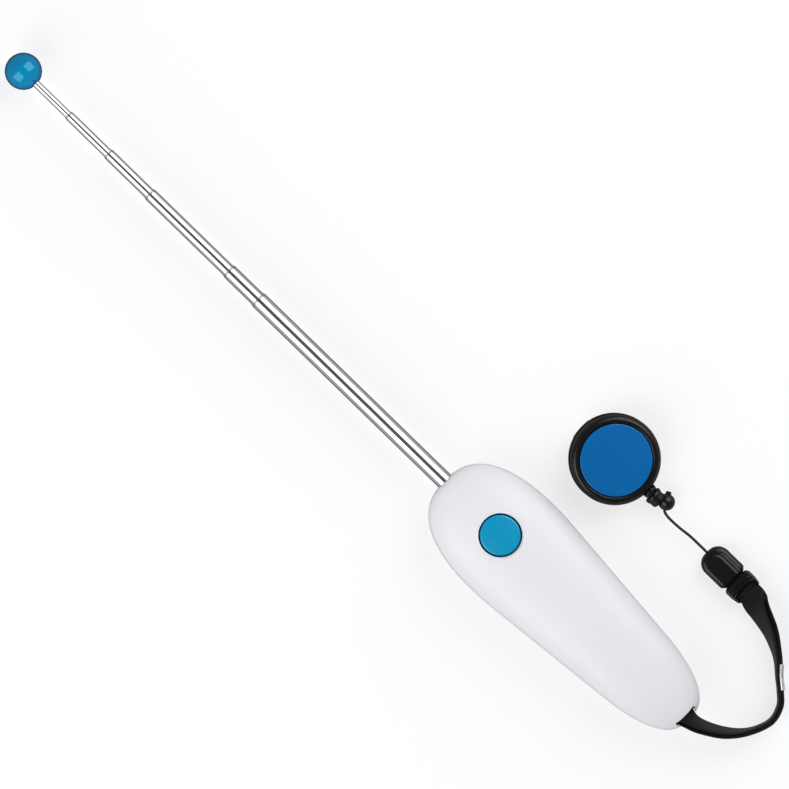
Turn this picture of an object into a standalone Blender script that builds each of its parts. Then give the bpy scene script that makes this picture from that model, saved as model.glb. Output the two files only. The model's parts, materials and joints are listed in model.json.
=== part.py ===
# Telescopic training target stick with a clicker handle, a wrist loop and a retractable reel.
# It lies on its back. +X runs along the stick towards the ball, +Z is up, and the origin is the
# centre of the handle's flat rest face. Sizes are in metres.

import bmesh
import bpy
from math import asin, cos, pi, radians, sin, tan
from mathutils import Matrix, Vector

MM = 0.001
MERGE = 0.00001

# Clearances
SEAT_GAP = 0.3 * MM
SLIDE_GAP = 0.15 * MM
RING_GAP = 0.02 * MM
BORE_GAP = 0.08 * MM

# Handle housing
HANDLE_LENGTH = 119.0 * MM
HANDLE_HALF_WIDTH = 21.3 * MM
HANDLE_TAPER = 0.0942
TAPER_START = 30.0 * MM
FRONT_ROUNDING = 45.0 * MM
TAIL_ROUNDING = 26.0 * MM
CREST_SETBACK = 40.5 * MM
AXIS_HEIGHT = 11.0 * MM
UPPER_HEIGHT = 13.0 * MM
UPPER_FULLNESS = 2.6
FLAT_DEPTH = 1.0 * MM
LOWER_FULLNESS = 3.2
SHELL_WALL = 2.0 * MM
TONGUE_WALL = 0.8 * MM
TONGUE_RISE = 1.0 * MM
TONGUE_ROOT = 2.2 * MM
CROWN_CUT = 0.985
OUTLINE_POINTS = 40
DOME_RINGS = 6
CAVITY_RINGS = 4

# Housing screws, placed from the ends and sides of the handle
SCREW_FRONT_SETBACK = 16.0 * MM
SCREW_PIN_SPACING = 22.6 * MM
SCREW_SIDE_INSET = 7.2 * MM
SCREW_HEAD_RADIUS = 2.2 * MM
SCREW_HEAD_HEIGHT = 1.4 * MM
SCREW_SHANK_RADIUS = 1.1 * MM
SCREW_POINT_LENGTH = 1.2 * MM
SCREW_GRIP = 11.0 * MM
SCREW_SEAT_HEIGHT = 4.8 * MM
BOSS_RADIUS = 3.5 * MM

# Telescopic stick, as far out as it is seen
TUBE_COUNT = 5
TUBE_DIAMETER = 6.2 * MM
TUBE_STEP = 0.35 * MM
TUBE_WALL = 0.2 * MM
FULL_OVERLAP = 9.3 * MM
INNER_SETBACK = 4.0 * MM
INNER_EXPOSED = [14.2 * MM, 38.4 * MM, 20.1 * MM, 19.3 * MM, 15.3 * MM]
MOUTH_LENGTH = 1.0 * MM
MOUTH_LIP = 0.1 * MM
SWAGE_LENGTH = 1.4 * MM
RING_LENGTH = 4.0 * MM
ROUND_STEPS = 16
BORE_STEPS = 12
BALL_DIAMETER = 13.0 * MM
BALL_SOCKET = 6.0 * MM

# Guide tube in the handle
GUIDE_WALL = 0.3 * MM
GUIDE_SETBACK = 2.6 * MM
GUIDE_PIN_CLEARANCE = 8.25 * MM
GUIDE_COLLAR_RADIUS = 4.7 * MM
GUIDE_COLLAR_LENGTH = 1.6 * MM
RIB_THICKNESS = 1.6 * MM
RIB_SIDE_INSET = 4.6 * MM
FRONT_RIB_SETBACK = 9.0 * MM
MIDDLE_RIB_SPACING = 7.5 * MM
REAR_RIB_SPACING = 5.1 * MM

# Click button and clicker, placed from the button's axis
BUTTON_SETBACK = 26.8 * MM
BUTTON_DIAMETER = 14.2 * MM
BUTTON_RING = 0.55 * MM
BUTTON_PROUD = 0.3 * MM
BUTTON_DISH = 0.5 * MM
BUTTON_EDGE = 0.9 * MM
BUTTON_SKIRT = 3.7 * MM
BUTTON_FLANGE_WIDTH = 0.95 * MM
BUTTON_FLANGE_THICKNESS = 1.0 * MM
BUTTON_STEM_RADIUS = 2.2 * MM
BUTTON_NOSE_RADIUS = 1.2 * MM
BUTTON_NOSE_HEIGHT = 0.5 * MM
HOLE_CHAMFER = 0.7 * MM
BUTTON_STEPS = 24
SEAT_WALL = 1.4 * MM
FRAME_GUIDE_GAP = 0.45 * MM
FRAME_THICKNESS = 1.3 * MM
FRAME_FRONT_REACH = 15.0 * MM
FRAME_REAR_REACH = 10.5 * MM
FRAME_HALF_WIDTH = 7.9 * MM
FRAME_BORDER_REAR = 3.5 * MM
FRAME_BORDER_FRONT = 8.5 * MM
FRAME_BORDER_SIDE = 3.3 * MM
FRAME_BEVEL = 0.25 * MM
POST_RADIUS = 1.5 * MM
POST_Y = 6.2 * MM
LEAF_THICKNESS = 0.35 * MM
LEAF_WIDTH = 8.0 * MM
LEAF_LIFT = 1.4 * MM
LEAF_BOW = 0.4 * MM
LEAF_CLAMP_LENGTH = 3.8 * MM
LEAF_REAR_REACH = 4.0 * MM
LEAF_STEPS = 8
RIVET_SETBACK = 2.0 * MM
RIVET_RADIUS = 0.8 * MM
RIVET_HEAD_RADIUS = 1.7 * MM
RIVET_HEAD_HEIGHT = 0.6 * MM

# Webbing loop at the tail
STRAP_WIDTH = 8.8 * MM
STRAP_THICKNESS = 0.8 * MM
LAYER_GAP = 0.4 * MM
TURN_STEPS = 8
PIN_SETBACK = 6.9 * MM
PIN_RADIUS = 1.25 * MM
PIN_HALF_LENGTH = 8.2 * MM
PIN_CRADLE_Y = 7.0 * MM
CRADLE_RADIUS = 2.2 * MM
SLOT_HALF_WIDTH = 5.4 * MM
SLOT_HALF_HEIGHT = 4.9 * MM
CRIMP_LENGTH = 9.5 * MM
CRIMP_WALL = 0.3 * MM
CRIMP_SHARE = 0.57

# Stations of the loop after the pin, in mm from the pin: back, aside, up, then how far the webbing
# has turned on edge in degrees, and how far its two layers part as a share of their closest spacing
STRAP_ROUTE = [
    (-5.9, 0.2, 0.0, 50, 1.6),
    (-11.1, -0.8, -0.6, 67, 1.3),
    (-18.8, -4.9, -2.6, 75, 1.2),
    (-25.1, -11.3, -4.6, 87, 1.2),
    (-28.3, -18.9, -5.4, 90, 1.2),
    (-26.9, -25.1, -5.5, 90, 1.35),
    (-23.2, -29.1, -5.5, 90, 1.45),
    (-19.4, -32.3, -5.5, 90, 1.5),
    (-15.7, -35.5, -5.5, 90, 1.5),
    (-11.9, -38.2, -5.5, 86, 1.7),
    (-6.0, -41.0, -5.8, 76, 2.2),
    (2.1, -43.8, -5.7, 50, 2.8),
]

# Buckle between the webbing and the pull cord
BUCKLE_PIN_SPACING = 28.8 * MM
BUCKLE_Y = -46.0 * MM
BUCKLE_WIDTH = 11.2 * MM
BUCKLE_THICKNESS = 5.8 * MM
SOCKET_LENGTH = 13.6 * MM
SOCKET_WALL = 1.2 * MM
SOCKET_DEPTH = 9.4 * MM
SOCKET_NOSE = 0.42
SOCKET_BEVEL = 1.1 * MM
LATCH_START = 3.2 * MM
LATCH_LENGTH = 7.3 * MM
LATCH_WIDTH = 1.5 * MM
LATCH_Y = -2.65 * MM
LATCH_DEPTH = 0.45 * MM
PLUG_LENGTH = 6.8 * MM
PLUG_BEVEL = 0.6 * MM
PLUG_CORNER = 1.0 * MM
PLUG_TAPER = 3.0 * MM
PRONG_LENGTH = 8.6 * MM
PRONG_WIDTH = 2.3 * MM
BAR_RADIUS = 0.8 * MM

# Pull cord and its stop bead
CORD_DIAMETER = 1.0 * MM
BEAD_RADIUS = 3.0 * MM
NUB_RADIUS = 1.0 * MM
NUB_HEIGHT = 0.8 * MM

# Retractable reel
REEL_PIN_SPACING = 74.8 * MM
REEL_Y = -46.8 * MM
REEL_HEADING = radians(2.0)
REEL_TILT = radians(8.0)
REEL_RADIUS = 16.0 * MM
REEL_THICKNESS = 9.0 * MM
REEL_STEPS = 28
CASE_WALL = 1.2 * MM
CASE_RIM = 1.4 * MM
FACE_DIAMETER = 25.5 * MM
FACE_THICKNESS = 0.9 * MM
FACE_PROUD = 0.15 * MM
FACE_CROWN = 0.25 * MM
SPOOL_RADIUS = 13.4 * MM
SPOOL_CORE_RADIUS = 10.4 * MM
SPOOL_FLANGE = 0.6 * MM
SPOOL_WALL = 0.8 * MM
WINDING_INSET = 0.4 * MM
SPRING_THICKNESS = 0.25 * MM
SPRING_TURNS = 5
SPRING_STEPS = 12
AXLE_RADIUS = 1.2 * MM
AXLE_HEAD_RADIUS = 2.3 * MM
AXLE_HEAD_HEIGHT = 0.4 * MM
NOZZLE_RADIUS = 2.6 * MM
NOZZLE_GROOVE = 0.7 * MM
NOZZLE_FLANGE_REACH = 2.0 * MM
NOZZLE_FLANGE_WIDTH = 1.2 * MM
NOZZLE_FLANGE_RADIUS = 3.5 * MM
NOZZLE_CUP_RADIUS = 2.7 * MM
BEAD_REACH = 23.9 * MM
BEAD_SIDE = -1.1 * MM
CLIP_WIDTH = 8.0 * MM
CLIP_THICKNESS = 0.7 * MM
CLIP_REACH = 13.2 * MM
CLIP_TIP = 14.6 * MM
CLIP_BASE_REACH = 5.0 * MM
CLIP_STEPS = 8

# Values worked out from those above
FRONT_X = HANDLE_LENGTH / 2
CREST_X = FRONT_X - CREST_SETBACK
LOWER_HEIGHT = AXIS_HEIGHT + FLAT_DEPTH
PIN_X = PIN_SETBACK - FRONT_X
TUBE_RADIUS = TUBE_DIAMETER / 2
GUIDE_INNER = TUBE_RADIUS + SLIDE_GAP
GUIDE_RADIUS = GUIDE_INNER + GUIDE_WALL
GUIDE_FRONT_X = FRONT_X - GUIDE_SETBACK
GUIDE_REAR_X = PIN_X + PIN_RADIUS + GUIDE_PIN_CLEARANCE
GUIDE_LENGTH = GUIDE_FRONT_X - GUIDE_REAR_X
TUBE_LENGTH = GUIDE_LENGTH
INNER_LENGTH = TUBE_LENGTH - INNER_SETBACK
EXPOSED = [TUBE_LENGTH - FULL_OVERLAP] + INNER_EXPOSED
BUTTON_X = FRONT_X - BUTTON_SETBACK
BUTTON_RADIUS = BUTTON_DIAMETER / 2
BUTTON_HOLE_RADIUS = BUTTON_RADIUS + BUTTON_RING
BUTTON_FLANGE_RADIUS = BUTTON_RADIUS + BUTTON_FLANGE_WIDTH
BUTTON_TOP = AXIS_HEIGHT + UPPER_HEIGHT + BUTTON_PROUD
BUTTON_FLANGE_TOP = BUTTON_TOP - BUTTON_SKIRT
FRAME_FLOOR = AXIS_HEIGHT + GUIDE_RADIUS + FRAME_GUIDE_GAP
FRAME_TOP = FRAME_FLOOR + FRAME_THICKNESS
FRAME_FRONT_X = BUTTON_X + FRAME_FRONT_REACH
FRAME_REAR_X = BUTTON_X - FRAME_REAR_REACH
LEAF_HEIGHT = FRAME_TOP + LEAF_LIFT
LEAF_CLAMP_X = FRAME_FRONT_X - LEAF_CLAMP_LENGTH
LEAF_REAR_X = BUTTON_X - LEAF_REAR_REACH
RIVET_X = FRAME_FRONT_X - RIVET_SETBACK
RIB_X = [FRONT_X - FRONT_RIB_SETBACK, FRAME_REAR_X - MIDDLE_RIB_SPACING, GUIDE_REAR_X + REAR_RIB_SPACING]
LAYER_OFFSET = (STRAP_THICKNESS + LAYER_GAP) / 2
PIN_WRAP = PIN_RADIUS + SEAT_GAP + STRAP_THICKNESS / 2
BUCKLE_Z = BUCKLE_THICKNESS / 2 + SEAT_GAP
BUCKLE_FRONT_X = PIN_X + BUCKLE_PIN_SPACING
SOCKET_REAR_X = BUCKLE_FRONT_X - SOCKET_LENGTH
PLUG_FRONT_X = SOCKET_REAR_X - SEAT_GAP
PLUG_REAR_X = PLUG_FRONT_X - PLUG_LENGTH
BAR_X = PLUG_REAR_X + BAR_RADIUS + SEAT_GAP
BAR_WRAP = BAR_RADIUS + SEAT_GAP + STRAP_THICKNESS / 2
CORD_RADIUS = CORD_DIAMETER / 2
REEL_X = PIN_X + REEL_PIN_SPACING
CASE_HALF = REEL_THICKNESS / 2
FACE_RADIUS = FACE_DIAMETER / 2

COLOURS = {
    "housing": ((0.77, 0.77, 0.82), 0.42, 0.0),
    "black_plastic": ((0.012, 0.012, 0.013), 0.35, 0.0),
    "blue_button": ((0.004, 0.27, 0.54), 0.3, 0.0),
    "blue_ball": ((0.003, 0.19, 0.48), 0.12, 0.0),
    "blue_face": ((0.0, 0.14, 0.44), 0.25, 0.0),
    "chrome": ((0.75, 0.76, 0.78), 0.08, 1.0),
    "spring_steel": ((0.55, 0.56, 0.58), 0.3, 1.0),
    "brass": ((0.78, 0.57, 0.2), 0.3, 1.0),
    "webbing": ((0.014, 0.014, 0.015), 0.85, 0.0),
    "cord": ((0.011, 0.011, 0.012), 0.8, 0.0),
}


# Scene set-up

def clearScene():
    for obj in list(bpy.data.objects):
        bpy.data.objects.remove(obj, do_unlink=True)


def makeCollection(name):
    collection = bpy.data.collections.new(name)
    bpy.context.scene.collection.children.link(collection)
    return collection


def makeMaterials():
    made = {}
    for name, (colour, roughness, metallic) in COLOURS.items():
        material = bpy.data.materials.new(name)
        material.use_nodes = True
        shader = material.node_tree.nodes["Principled BSDF"]
        shader.inputs["Base Color"].default_value = (*colour, 1.0)
        shader.inputs["Roughness"].default_value = roughness
        shader.inputs["Metallic"].default_value = metallic
        made[name] = material
    return made


clearScene()
PARTS = makeCollection("training_target_stick")
CUTTERS = makeCollection("cutters")
MATERIALS = makeMaterials()


# Helpers

def addPiece(name, mesh, material, place=None, parent=None):
    obj = bpy.data.objects.new(name, mesh)
    mesh.materials.clear()
    mesh.materials.append(MATERIALS[material])
    PARTS.objects.link(obj)
    obj.parent = parent
    if place is not None:
        obj.matrix_basis = place
    return obj


def addCutter(name, mesh, place=None, parent=None):
    obj = bpy.data.objects.new(name, mesh)
    CUTTERS.objects.link(obj)
    obj.hide_render = True
    obj.display_type = "WIRE"
    obj.parent = parent
    if place is not None:
        obj.matrix_basis = place
    return obj


def combine(obj, other, operation):
    modifier = obj.modifiers.new(other.name, "BOOLEAN")
    modifier.operation = operation
    modifier.object = other
    modifier.solver = "EXACT"


def cut(obj, cutter):
    combine(obj, cutter, "DIFFERENCE")


def join(obj, other):
    combine(obj, other, "UNION")


def bevelEdges(obj, width, segments=2, angle=radians(35)):
    modifier = obj.modifiers.new("edges", "BEVEL")
    modifier.width = width
    modifier.segments = segments
    modifier.limit_method = "ANGLE"
    modifier.angle_limit = angle


def toMesh(build, name):
    mesh = bpy.data.meshes.new(name)
    build.normal_update()
    build.to_mesh(mesh)
    build.free()
    return mesh


def smoothMesh(mesh, angle=radians(35)):
    mesh.shade_smooth()
    mesh.set_sharp_from_angle(angle=angle)
    return mesh


def boxMesh(name, low, high):
    build = bmesh.new()
    size = [b - a for a, b in zip(low, high)]
    centre = [(a + b) / 2 for a, b in zip(low, high)]
    bmesh.ops.create_cube(build, size=1.0, matrix=Matrix.Translation(centre) @ Matrix.Diagonal((*size, 1.0)))
    return toMesh(build, name)


def rodMesh(name, radius, low, high, steps=ROUND_STEPS):
    build = bmesh.new()
    bmesh.ops.create_cone(
        build, cap_ends=True, segments=steps, radius1=radius, radius2=radius, depth=high - low,
        matrix=Matrix.Translation((0, 0, (low + high) / 2)),
    )
    return smoothMesh(toMesh(build, name))


def loftMesh(name, rings, closed=False):
    build = bmesh.new()
    rows = [[build.verts.new(point) for point in ring] for ring in rings]
    pairs = list(zip(rows, rows[1:]))
    if closed:
        pairs.append((rows[-1], rows[0]))
    for first, second in pairs:
        for index in range(len(first)):
            after = (index + 1) % len(first)
            build.faces.new((first[index], first[after], second[after], second[index]))
    if not closed:
        build.faces.new(list(reversed(rows[0])))
        build.faces.new(rows[-1])
    bmesh.ops.recalc_face_normals(build, faces=build.faces)
    return smoothMesh(toMesh(build, name))


def routeCurve(name, points, flat=False, closed=False):
    curve = bpy.data.curves.new(name, "CURVE")
    curve.dimensions = "2D" if flat else "3D"
    spline = curve.splines.new("POLY")
    spline.points.add(len(points) - 1)
    for target, point in zip(spline.points, points):
        target.co = (*Vector(point).to_3d(), 1.0)
    spline.use_cyclic_u = closed
    return curve


def curveMesh(curve, name, angle=radians(35)):
    # A curve's caps are loose, so they are welded to its sides
    guide = bpy.data.objects.new(name + "_curve", curve)
    CUTTERS.objects.link(guide)
    evaluated = guide.evaluated_get(bpy.context.evaluated_depsgraph_get())
    mesh = bpy.data.meshes.new_from_object(evaluated)
    mesh.name = name
    bpy.data.objects.remove(guide, do_unlink=True)
    build = bmesh.new()
    build.from_mesh(mesh)
    bmesh.ops.remove_doubles(build, verts=build.verts, dist=MERGE)
    build.to_mesh(mesh)
    build.free()
    return smoothMesh(mesh, angle)


def cordMesh(name, radius, points):
    curve = routeCurve(name, points)
    curve.bevel_depth = radius
    curve.bevel_resolution = 2
    curve.use_fill_caps = True
    return curveMesh(curve, name, radians(60))


def plateMesh(name, outline, low, high):
    curve = routeCurve(name, outline, flat=True, closed=True)
    curve.fill_mode = "BOTH"
    curve.extrude = (high - low) / 2
    mesh = curveMesh(curve, name)
    mesh.transform(Matrix.Translation((0, 0, (low + high) / 2)))
    return mesh


def stripMesh(name, path, width):
    # A bent strip's middle surface, its path in x and y and its width across z
    curve = routeCurve(name, path, flat=True)
    curve.fill_mode = "NONE"
    curve.extrude = width / 2
    return curveMesh(curve, name)


def thicken(obj, thickness):
    modifier = obj.modifiers.new("thickness", "SOLIDIFY")
    modifier.thickness = thickness
    modifier.offset = 0
    modifier.use_even_offset = True


def turnedMesh(name, profile, loop=False, steps=ROUND_STEPS):
    build = bmesh.new()
    verts = [build.verts.new((radius, 0, height)) for radius, height in profile]
    pairs = list(zip(verts, verts[1:]))
    if loop:
        pairs.append((verts[-1], verts[0]))
    for first, second in pairs:
        build.edges.new((first, second))
    guide = bpy.data.objects.new(name + "_profile", toMesh(build, name + "_profile"))
    CUTTERS.objects.link(guide)
    screw = guide.modifiers.new("turn", "SCREW")
    screw.steps = steps
    screw.render_steps = steps
    screw.use_merge_vertices = True
    screw.merge_threshold = MERGE
    evaluated = guide.evaluated_get(bpy.context.evaluated_depsgraph_get())
    mesh = bpy.data.meshes.new_from_object(evaluated)
    mesh.name = name
    bpy.data.objects.remove(guide, do_unlink=True)
    return smoothMesh(mesh)


def alongX(x, y=0.0, z=AXIS_HEIGHT):
    return Matrix.Translation((x, y, z)) @ Matrix.Rotation(radians(90), 4, "Y")


def alongY(x, y, z):
    return Matrix.Translation((x, y, z)) @ Matrix.Rotation(radians(-90), 4, "X")


def smoothRoute(points, perSpan):
    dense = []
    ends = [points[0] * 2 - points[1]] + points + [points[-1] * 2 - points[-2]]
    for index in range(1, len(ends) - 2):
        before, start, end, after = ends[index - 1:index + 3]
        for step in range(perSpan):
            t = step / perSpan
            dense.append(
                0.5 * (
                    start * 2 + (end - before) * t
                    + (before * 2 - start * 5 + end * 4 - after) * t ** 2
                    + (start * 3 - before - end * 3 + after) * t ** 3
                )
            )
    dense.append(points[-1])
    return dense


# Handle housing

def endRounding(distance, reach, bow, fullness):
    if distance >= reach:
        return 1.0
    return max(0.0, 1.0 - (1.0 - distance / reach) ** bow) ** (1.0 / fullness)


def halfWidth(x):
    behind = FRONT_X - x
    ahead = HANDLE_LENGTH - behind
    side = HANDLE_HALF_WIDTH - HANDLE_TAPER * (behind - TAPER_START)
    return side * endRounding(behind, FRONT_ROUNDING, 2.2, 2.5) * endRounding(ahead, TAIL_ROUNDING, 2.3, 2.9)


def handleOutline(inset=0.0):
    plain = []
    for index in range(OUTLINE_POINTS):
        turn = 2 * pi * index / OUTLINE_POINTS
        x = FRONT_X * cos(turn)
        y = halfWidth(x)
        plain.append(Vector((x, y if turn <= pi else -y)))
    moved = []
    for index, point in enumerate(plain):
        run = plain[(index + 1) % OUTLINE_POINTS] - plain[index - 1]
        outward = Vector((run.y, -run.x)).normalized()
        moved.append(point - outward * inset)
    return moved


def domeRings(outline, height, fullness, lowest, highest, count):
    # Each ring is the outline drawn in towards the crest, so the housing swells evenly
    firstAngle = asin((lowest / height) ** (fullness / 2))
    lastAngle = asin((highest / height) ** (fullness / 2))
    rings = []
    for index in range(count + 1):
        angle = firstAngle + (lastAngle - firstAngle) * index / count
        scale = cos(angle) ** (2 / fullness)
        rise = height * sin(angle) ** (2 / fullness)
        rings.append([(CREST_X + (p.x - CREST_X) * scale, p.y * scale, rise) for p in outline])
    return rings


def flatRing(outline, rise):
    return [(p.x, p.y, rise) for p in outline]


def shellMesh(name, rings, side, partingGap):
    lift = AXIS_HEIGHT + side * partingGap
    return loftMesh(name, [[(x, y, lift + side * z) for x, y, z in ring] for ring in rings])


def upperBody():
    top = UPPER_HEIGHT * CROWN_CUT
    rings = domeRings(handleOutline(), UPPER_HEIGHT, UPPER_FULLNESS, 0, top, DOME_RINGS)
    return shellMesh("upper_shell", rings, 1, SEAT_GAP / 2)


def upperCavity():
    height = UPPER_HEIGHT - SHELL_WALL
    outline = handleOutline(SHELL_WALL)
    keyed = TONGUE_RISE + SEAT_GAP
    rings = domeRings(outline, height, UPPER_FULLNESS, keyed, height * CROWN_CUT, CAVITY_RINGS)
    rings.insert(0, flatRing(outline, -SHELL_WALL))
    return shellMesh("upper_cavity", rings, 1, 0)


def lowerBody():
    # The rim carries a tongue that keys into the upper shell
    tongue = handleOutline(SHELL_WALL + SEAT_GAP)
    rest = AXIS_HEIGHT - SEAT_GAP / 2
    rings = domeRings(handleOutline(), LOWER_HEIGHT, LOWER_FULLNESS, 0, rest, DOME_RINGS)
    rings.insert(0, flatRing(tongue, 0))
    rings.insert(0, flatRing(tongue, -TONGUE_RISE))
    return shellMesh("lower_shell", rings, -1, SEAT_GAP / 2)


def lowerCavity():
    height = LOWER_HEIGHT - SHELL_WALL
    floor = AXIS_HEIGHT - SHELL_WALL
    rings = domeRings(handleOutline(SHELL_WALL), height, LOWER_FULLNESS, TONGUE_ROOT, floor, CAVITY_RINGS)
    tongue = handleOutline(SHELL_WALL + SEAT_GAP + TONGUE_WALL)
    rings.insert(0, flatRing(tongue, TONGUE_ROOT))
    rings.insert(0, flatRing(tongue, -2 * TONGUE_RISE))
    return shellMesh("lower_cavity", rings, -1, 0)


def screwPlaces():
    places = []
    for x in (FRONT_X - SCREW_FRONT_SETBACK, PIN_X + SCREW_PIN_SPACING):
        y = halfWidth(x) - SCREW_SIDE_INSET
        places.append((x, y))
        places.append((x, -y))
    return places


def framePosts():
    front = FRAME_FRONT_X - POST_RADIUS - SEAT_GAP
    rear = FRAME_REAR_X + POST_RADIUS + SEAT_GAP
    return [(x, y) for x in (front, rear) for y in (POST_Y, -POST_Y)]


def columnCutter(name, x, y, radius, low, high, steps=12):
    return addCutter(name, rodMesh(name, radius, low, high, steps), Matrix.Translation((x, y, 0)))


def cutTubeSeats(shell, side):
    bore = addCutter(
        f"{side}_guide_bore",
        rodMesh("guide_bore", GUIDE_RADIUS + SEAT_GAP, 0, GUIDE_LENGTH + 2 * SEAT_GAP, BORE_STEPS),
        alongX(GUIDE_REAR_X - SEAT_GAP),
    )
    mouth = addCutter(
        f"{side}_stick_bore",
        rodMesh("stick_bore", TUBE_RADIUS + SEAT_GAP, 0, 3 * GUIDE_SETBACK),
        alongX(GUIDE_FRONT_X - SEAT_GAP),
    )
    cradle = PIN_HALF_LENGTH + SEAT_GAP
    seat = addCutter(
        f"{side}_pin_cradle",
        rodMesh("pin_cradle", PIN_RADIUS + SEAT_GAP, -cradle, cradle, 12),
        alongY(PIN_X, 0, AXIS_HEIGHT),
    )
    slotLow = (PIN_X - 2 * PIN_SETBACK, -SLOT_HALF_WIDTH, AXIS_HEIGHT - SLOT_HALF_HEIGHT)
    slotHigh = (PIN_X - PIN_RADIUS, SLOT_HALF_WIDTH, AXIS_HEIGHT + SLOT_HALF_HEIGHT)
    slot = addCutter(f"{side}_strap_slot", boxMesh("strap_slot", slotLow, slotHigh))
    for cutter in (bore, mouth, seat, slot):
        cut(shell, cutter)


def cavityWithSupports(side, mesh, low, high, posts):
    # The cavity leaves out whatever stays as a rib, a boss or a post in the housing
    cavity = addCutter(f"{side}_cavity", mesh)
    for index, x in enumerate(RIB_X):
        half = RIB_THICKNESS / 2
        reach = halfWidth(x) - RIB_SIDE_INSET
        plate = boxMesh("rib", (x - half, -reach, low), (x + half, reach, high))
        cut(cavity, addCutter(f"{side}_rib_{index + 1}", plate))
    for index, (x, y, radius, bottom, top) in enumerate(posts):
        cut(cavity, columnCutter(f"{side}_post_{index + 1}", x, y, radius, bottom, top))
    return cavity


def buildLowerShell():
    shell = addPiece("lower_shell", lowerBody(), "housing")
    top = AXIS_HEIGHT - SEAT_GAP / 2
    posts = [(x, y, BOSS_RADIUS, -SHELL_WALL, top) for x, y in screwPlaces()]
    posts += [(PIN_X, y, CRADLE_RADIUS, -SHELL_WALL, top) for y in (PIN_CRADLE_Y, -PIN_CRADLE_Y)]
    cut(shell, cavityWithSupports("lower", lowerCavity(), -SHELL_WALL, top, posts))
    for index, (x, y) in enumerate(framePosts()):
        post = columnCutter(
            f"frame_post_{index + 1}", x, y, POST_RADIUS, SHELL_WALL / 2, FRAME_FLOOR - SEAT_GAP)
        join(shell, post)
    cutTubeSeats(shell, "lower")
    cut(shell, tongueBreak())
    for index, (x, y) in enumerate(screwPlaces()):
        headRoom = columnCutter(
            f"screw_recess_{index + 1}", x, y, SCREW_HEAD_RADIUS + SEAT_GAP, -SHELL_WALL, SCREW_SEAT_HEIGHT)
        shank = columnCutter(
            f"screw_hole_{index + 1}", x, y, SCREW_SHANK_RADIUS + SEAT_GAP, 0, AXIS_HEIGHT + SHELL_WALL)
        cut(shell, headRoom)
        cut(shell, shank)
    return shell


def tongueBreak():
    # The tongue stops where the upper shell's pin cradles come down
    reach = CRADLE_RADIUS + SEAT_GAP
    low = (PIN_X - reach, -PIN_CRADLE_Y - reach, AXIS_HEIGHT - 2 * SEAT_GAP)
    high = (PIN_X + reach, PIN_CRADLE_Y + reach, AXIS_HEIGHT + 2 * TONGUE_RISE)
    return addCutter("tongue_break", boxMesh("tongue_break", low, high))


def buildUpperShell():
    shell = addPiece("upper_shell", upperBody(), "housing")
    bottom = AXIS_HEIGHT + SEAT_GAP / 2
    ceiling = AXIS_HEIGHT + UPPER_HEIGHT
    posts = [(x, y, BOSS_RADIUS - SEAT_GAP, bottom, ceiling) for x, y in screwPlaces()]
    posts += [(x, y, POST_RADIUS, FRAME_TOP + SEAT_GAP, ceiling) for x, y in framePosts()]
    posts += [(PIN_X, y, CRADLE_RADIUS, bottom, ceiling) for y in (PIN_CRADLE_Y, -PIN_CRADLE_Y)]
    seatRadius = BUTTON_HOLE_RADIUS + SEAT_WALL
    posts.append((BUTTON_X, 0, seatRadius, BUTTON_FLANGE_TOP + SEAT_GAP, ceiling))
    cut(shell, cavityWithSupports("upper", upperCavity(), bottom, ceiling, posts))
    cutTubeSeats(shell, "upper")
    for index, (x, y) in enumerate(screwPlaces()):
        pilot = columnCutter(
            f"screw_pilot_{index + 1}", x, y, SCREW_SHANK_RADIUS + SEAT_GAP,
            AXIS_HEIGHT - SHELL_WALL, SCREW_SEAT_HEIGHT + SCREW_GRIP + 2 * SEAT_GAP)
        cut(shell, pilot)
    hole = columnCutter(
        "button_hole", BUTTON_X, 0, BUTTON_HOLE_RADIUS, BUTTON_FLANGE_TOP - SHELL_WALL, ceiling + SHELL_WALL,
        BUTTON_STEPS)
    cut(shell, hole)
    cut(shell, chamferCutter())
    return shell


def chamferCutter():
    # A cone whose flank leaves the chamfer round the button hole
    face = AXIS_HEIGHT + UPPER_HEIGHT - HOLE_CHAMFER
    spread = BUTTON_HOLE_RADIUS + 2 * HOLE_CHAMFER
    profile = [
        (0, face + 2 * MM), (spread + 2 * MM, face + 2 * MM), (BUTTON_HOLE_RADIUS, face - HOLE_CHAMFER),
        (0, face - HOLE_CHAMFER),
    ]
    mesh = turnedMesh("hole_chamfer", profile, steps=BUTTON_STEPS)
    return addCutter("hole_chamfer", mesh, Matrix.Translation((BUTTON_X, 0, 0)))


def buildScrews():
    for index, (x, y) in enumerate(screwPlaces()):
        seat = SCREW_SEAT_HEIGHT - SEAT_GAP
        low = seat - SCREW_HEAD_HEIGHT
        tip = seat + SCREW_GRIP
        profile = [
            (0, tip), (SCREW_SHANK_RADIUS * 0.4, tip), (SCREW_SHANK_RADIUS, tip - SCREW_POINT_LENGTH),
            (SCREW_SHANK_RADIUS, seat), (SCREW_HEAD_RADIUS, seat), (SCREW_HEAD_RADIUS, low + 0.4 * MM),
            (SCREW_HEAD_RADIUS * 0.7, low), (0, low),
        ]
        mesh = turnedMesh("housing_screw", profile, steps=12)
        addPiece(f"housing_screw_{index + 1}", mesh, "spring_steel", Matrix.Translation((x, y, 0)))


# Telescopic stick

def sectionRadius(index):
    return TUBE_RADIUS - TUBE_STEP * index


def sectionFront(index):
    return FRONT_X + sum(EXPOSED[:index + 1])


def tubeMesh(name, radius, length, wall, mouthRadius, swage):
    mouth = MOUTH_LENGTH
    rear = -length
    profile = [
        (radius - MOUTH_LIP, 0), (radius, -0.4 * mouth), (radius, rear + SWAGE_LENGTH),
        (radius + swage, rear + 0.7 * SWAGE_LENGTH), (radius + swage, rear), (radius - wall, rear),
        (radius - wall, -mouth), (mouthRadius, -0.4 * mouth), (mouthRadius, 0),
    ]
    return turnedMesh(name, profile, loop=True)


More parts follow.
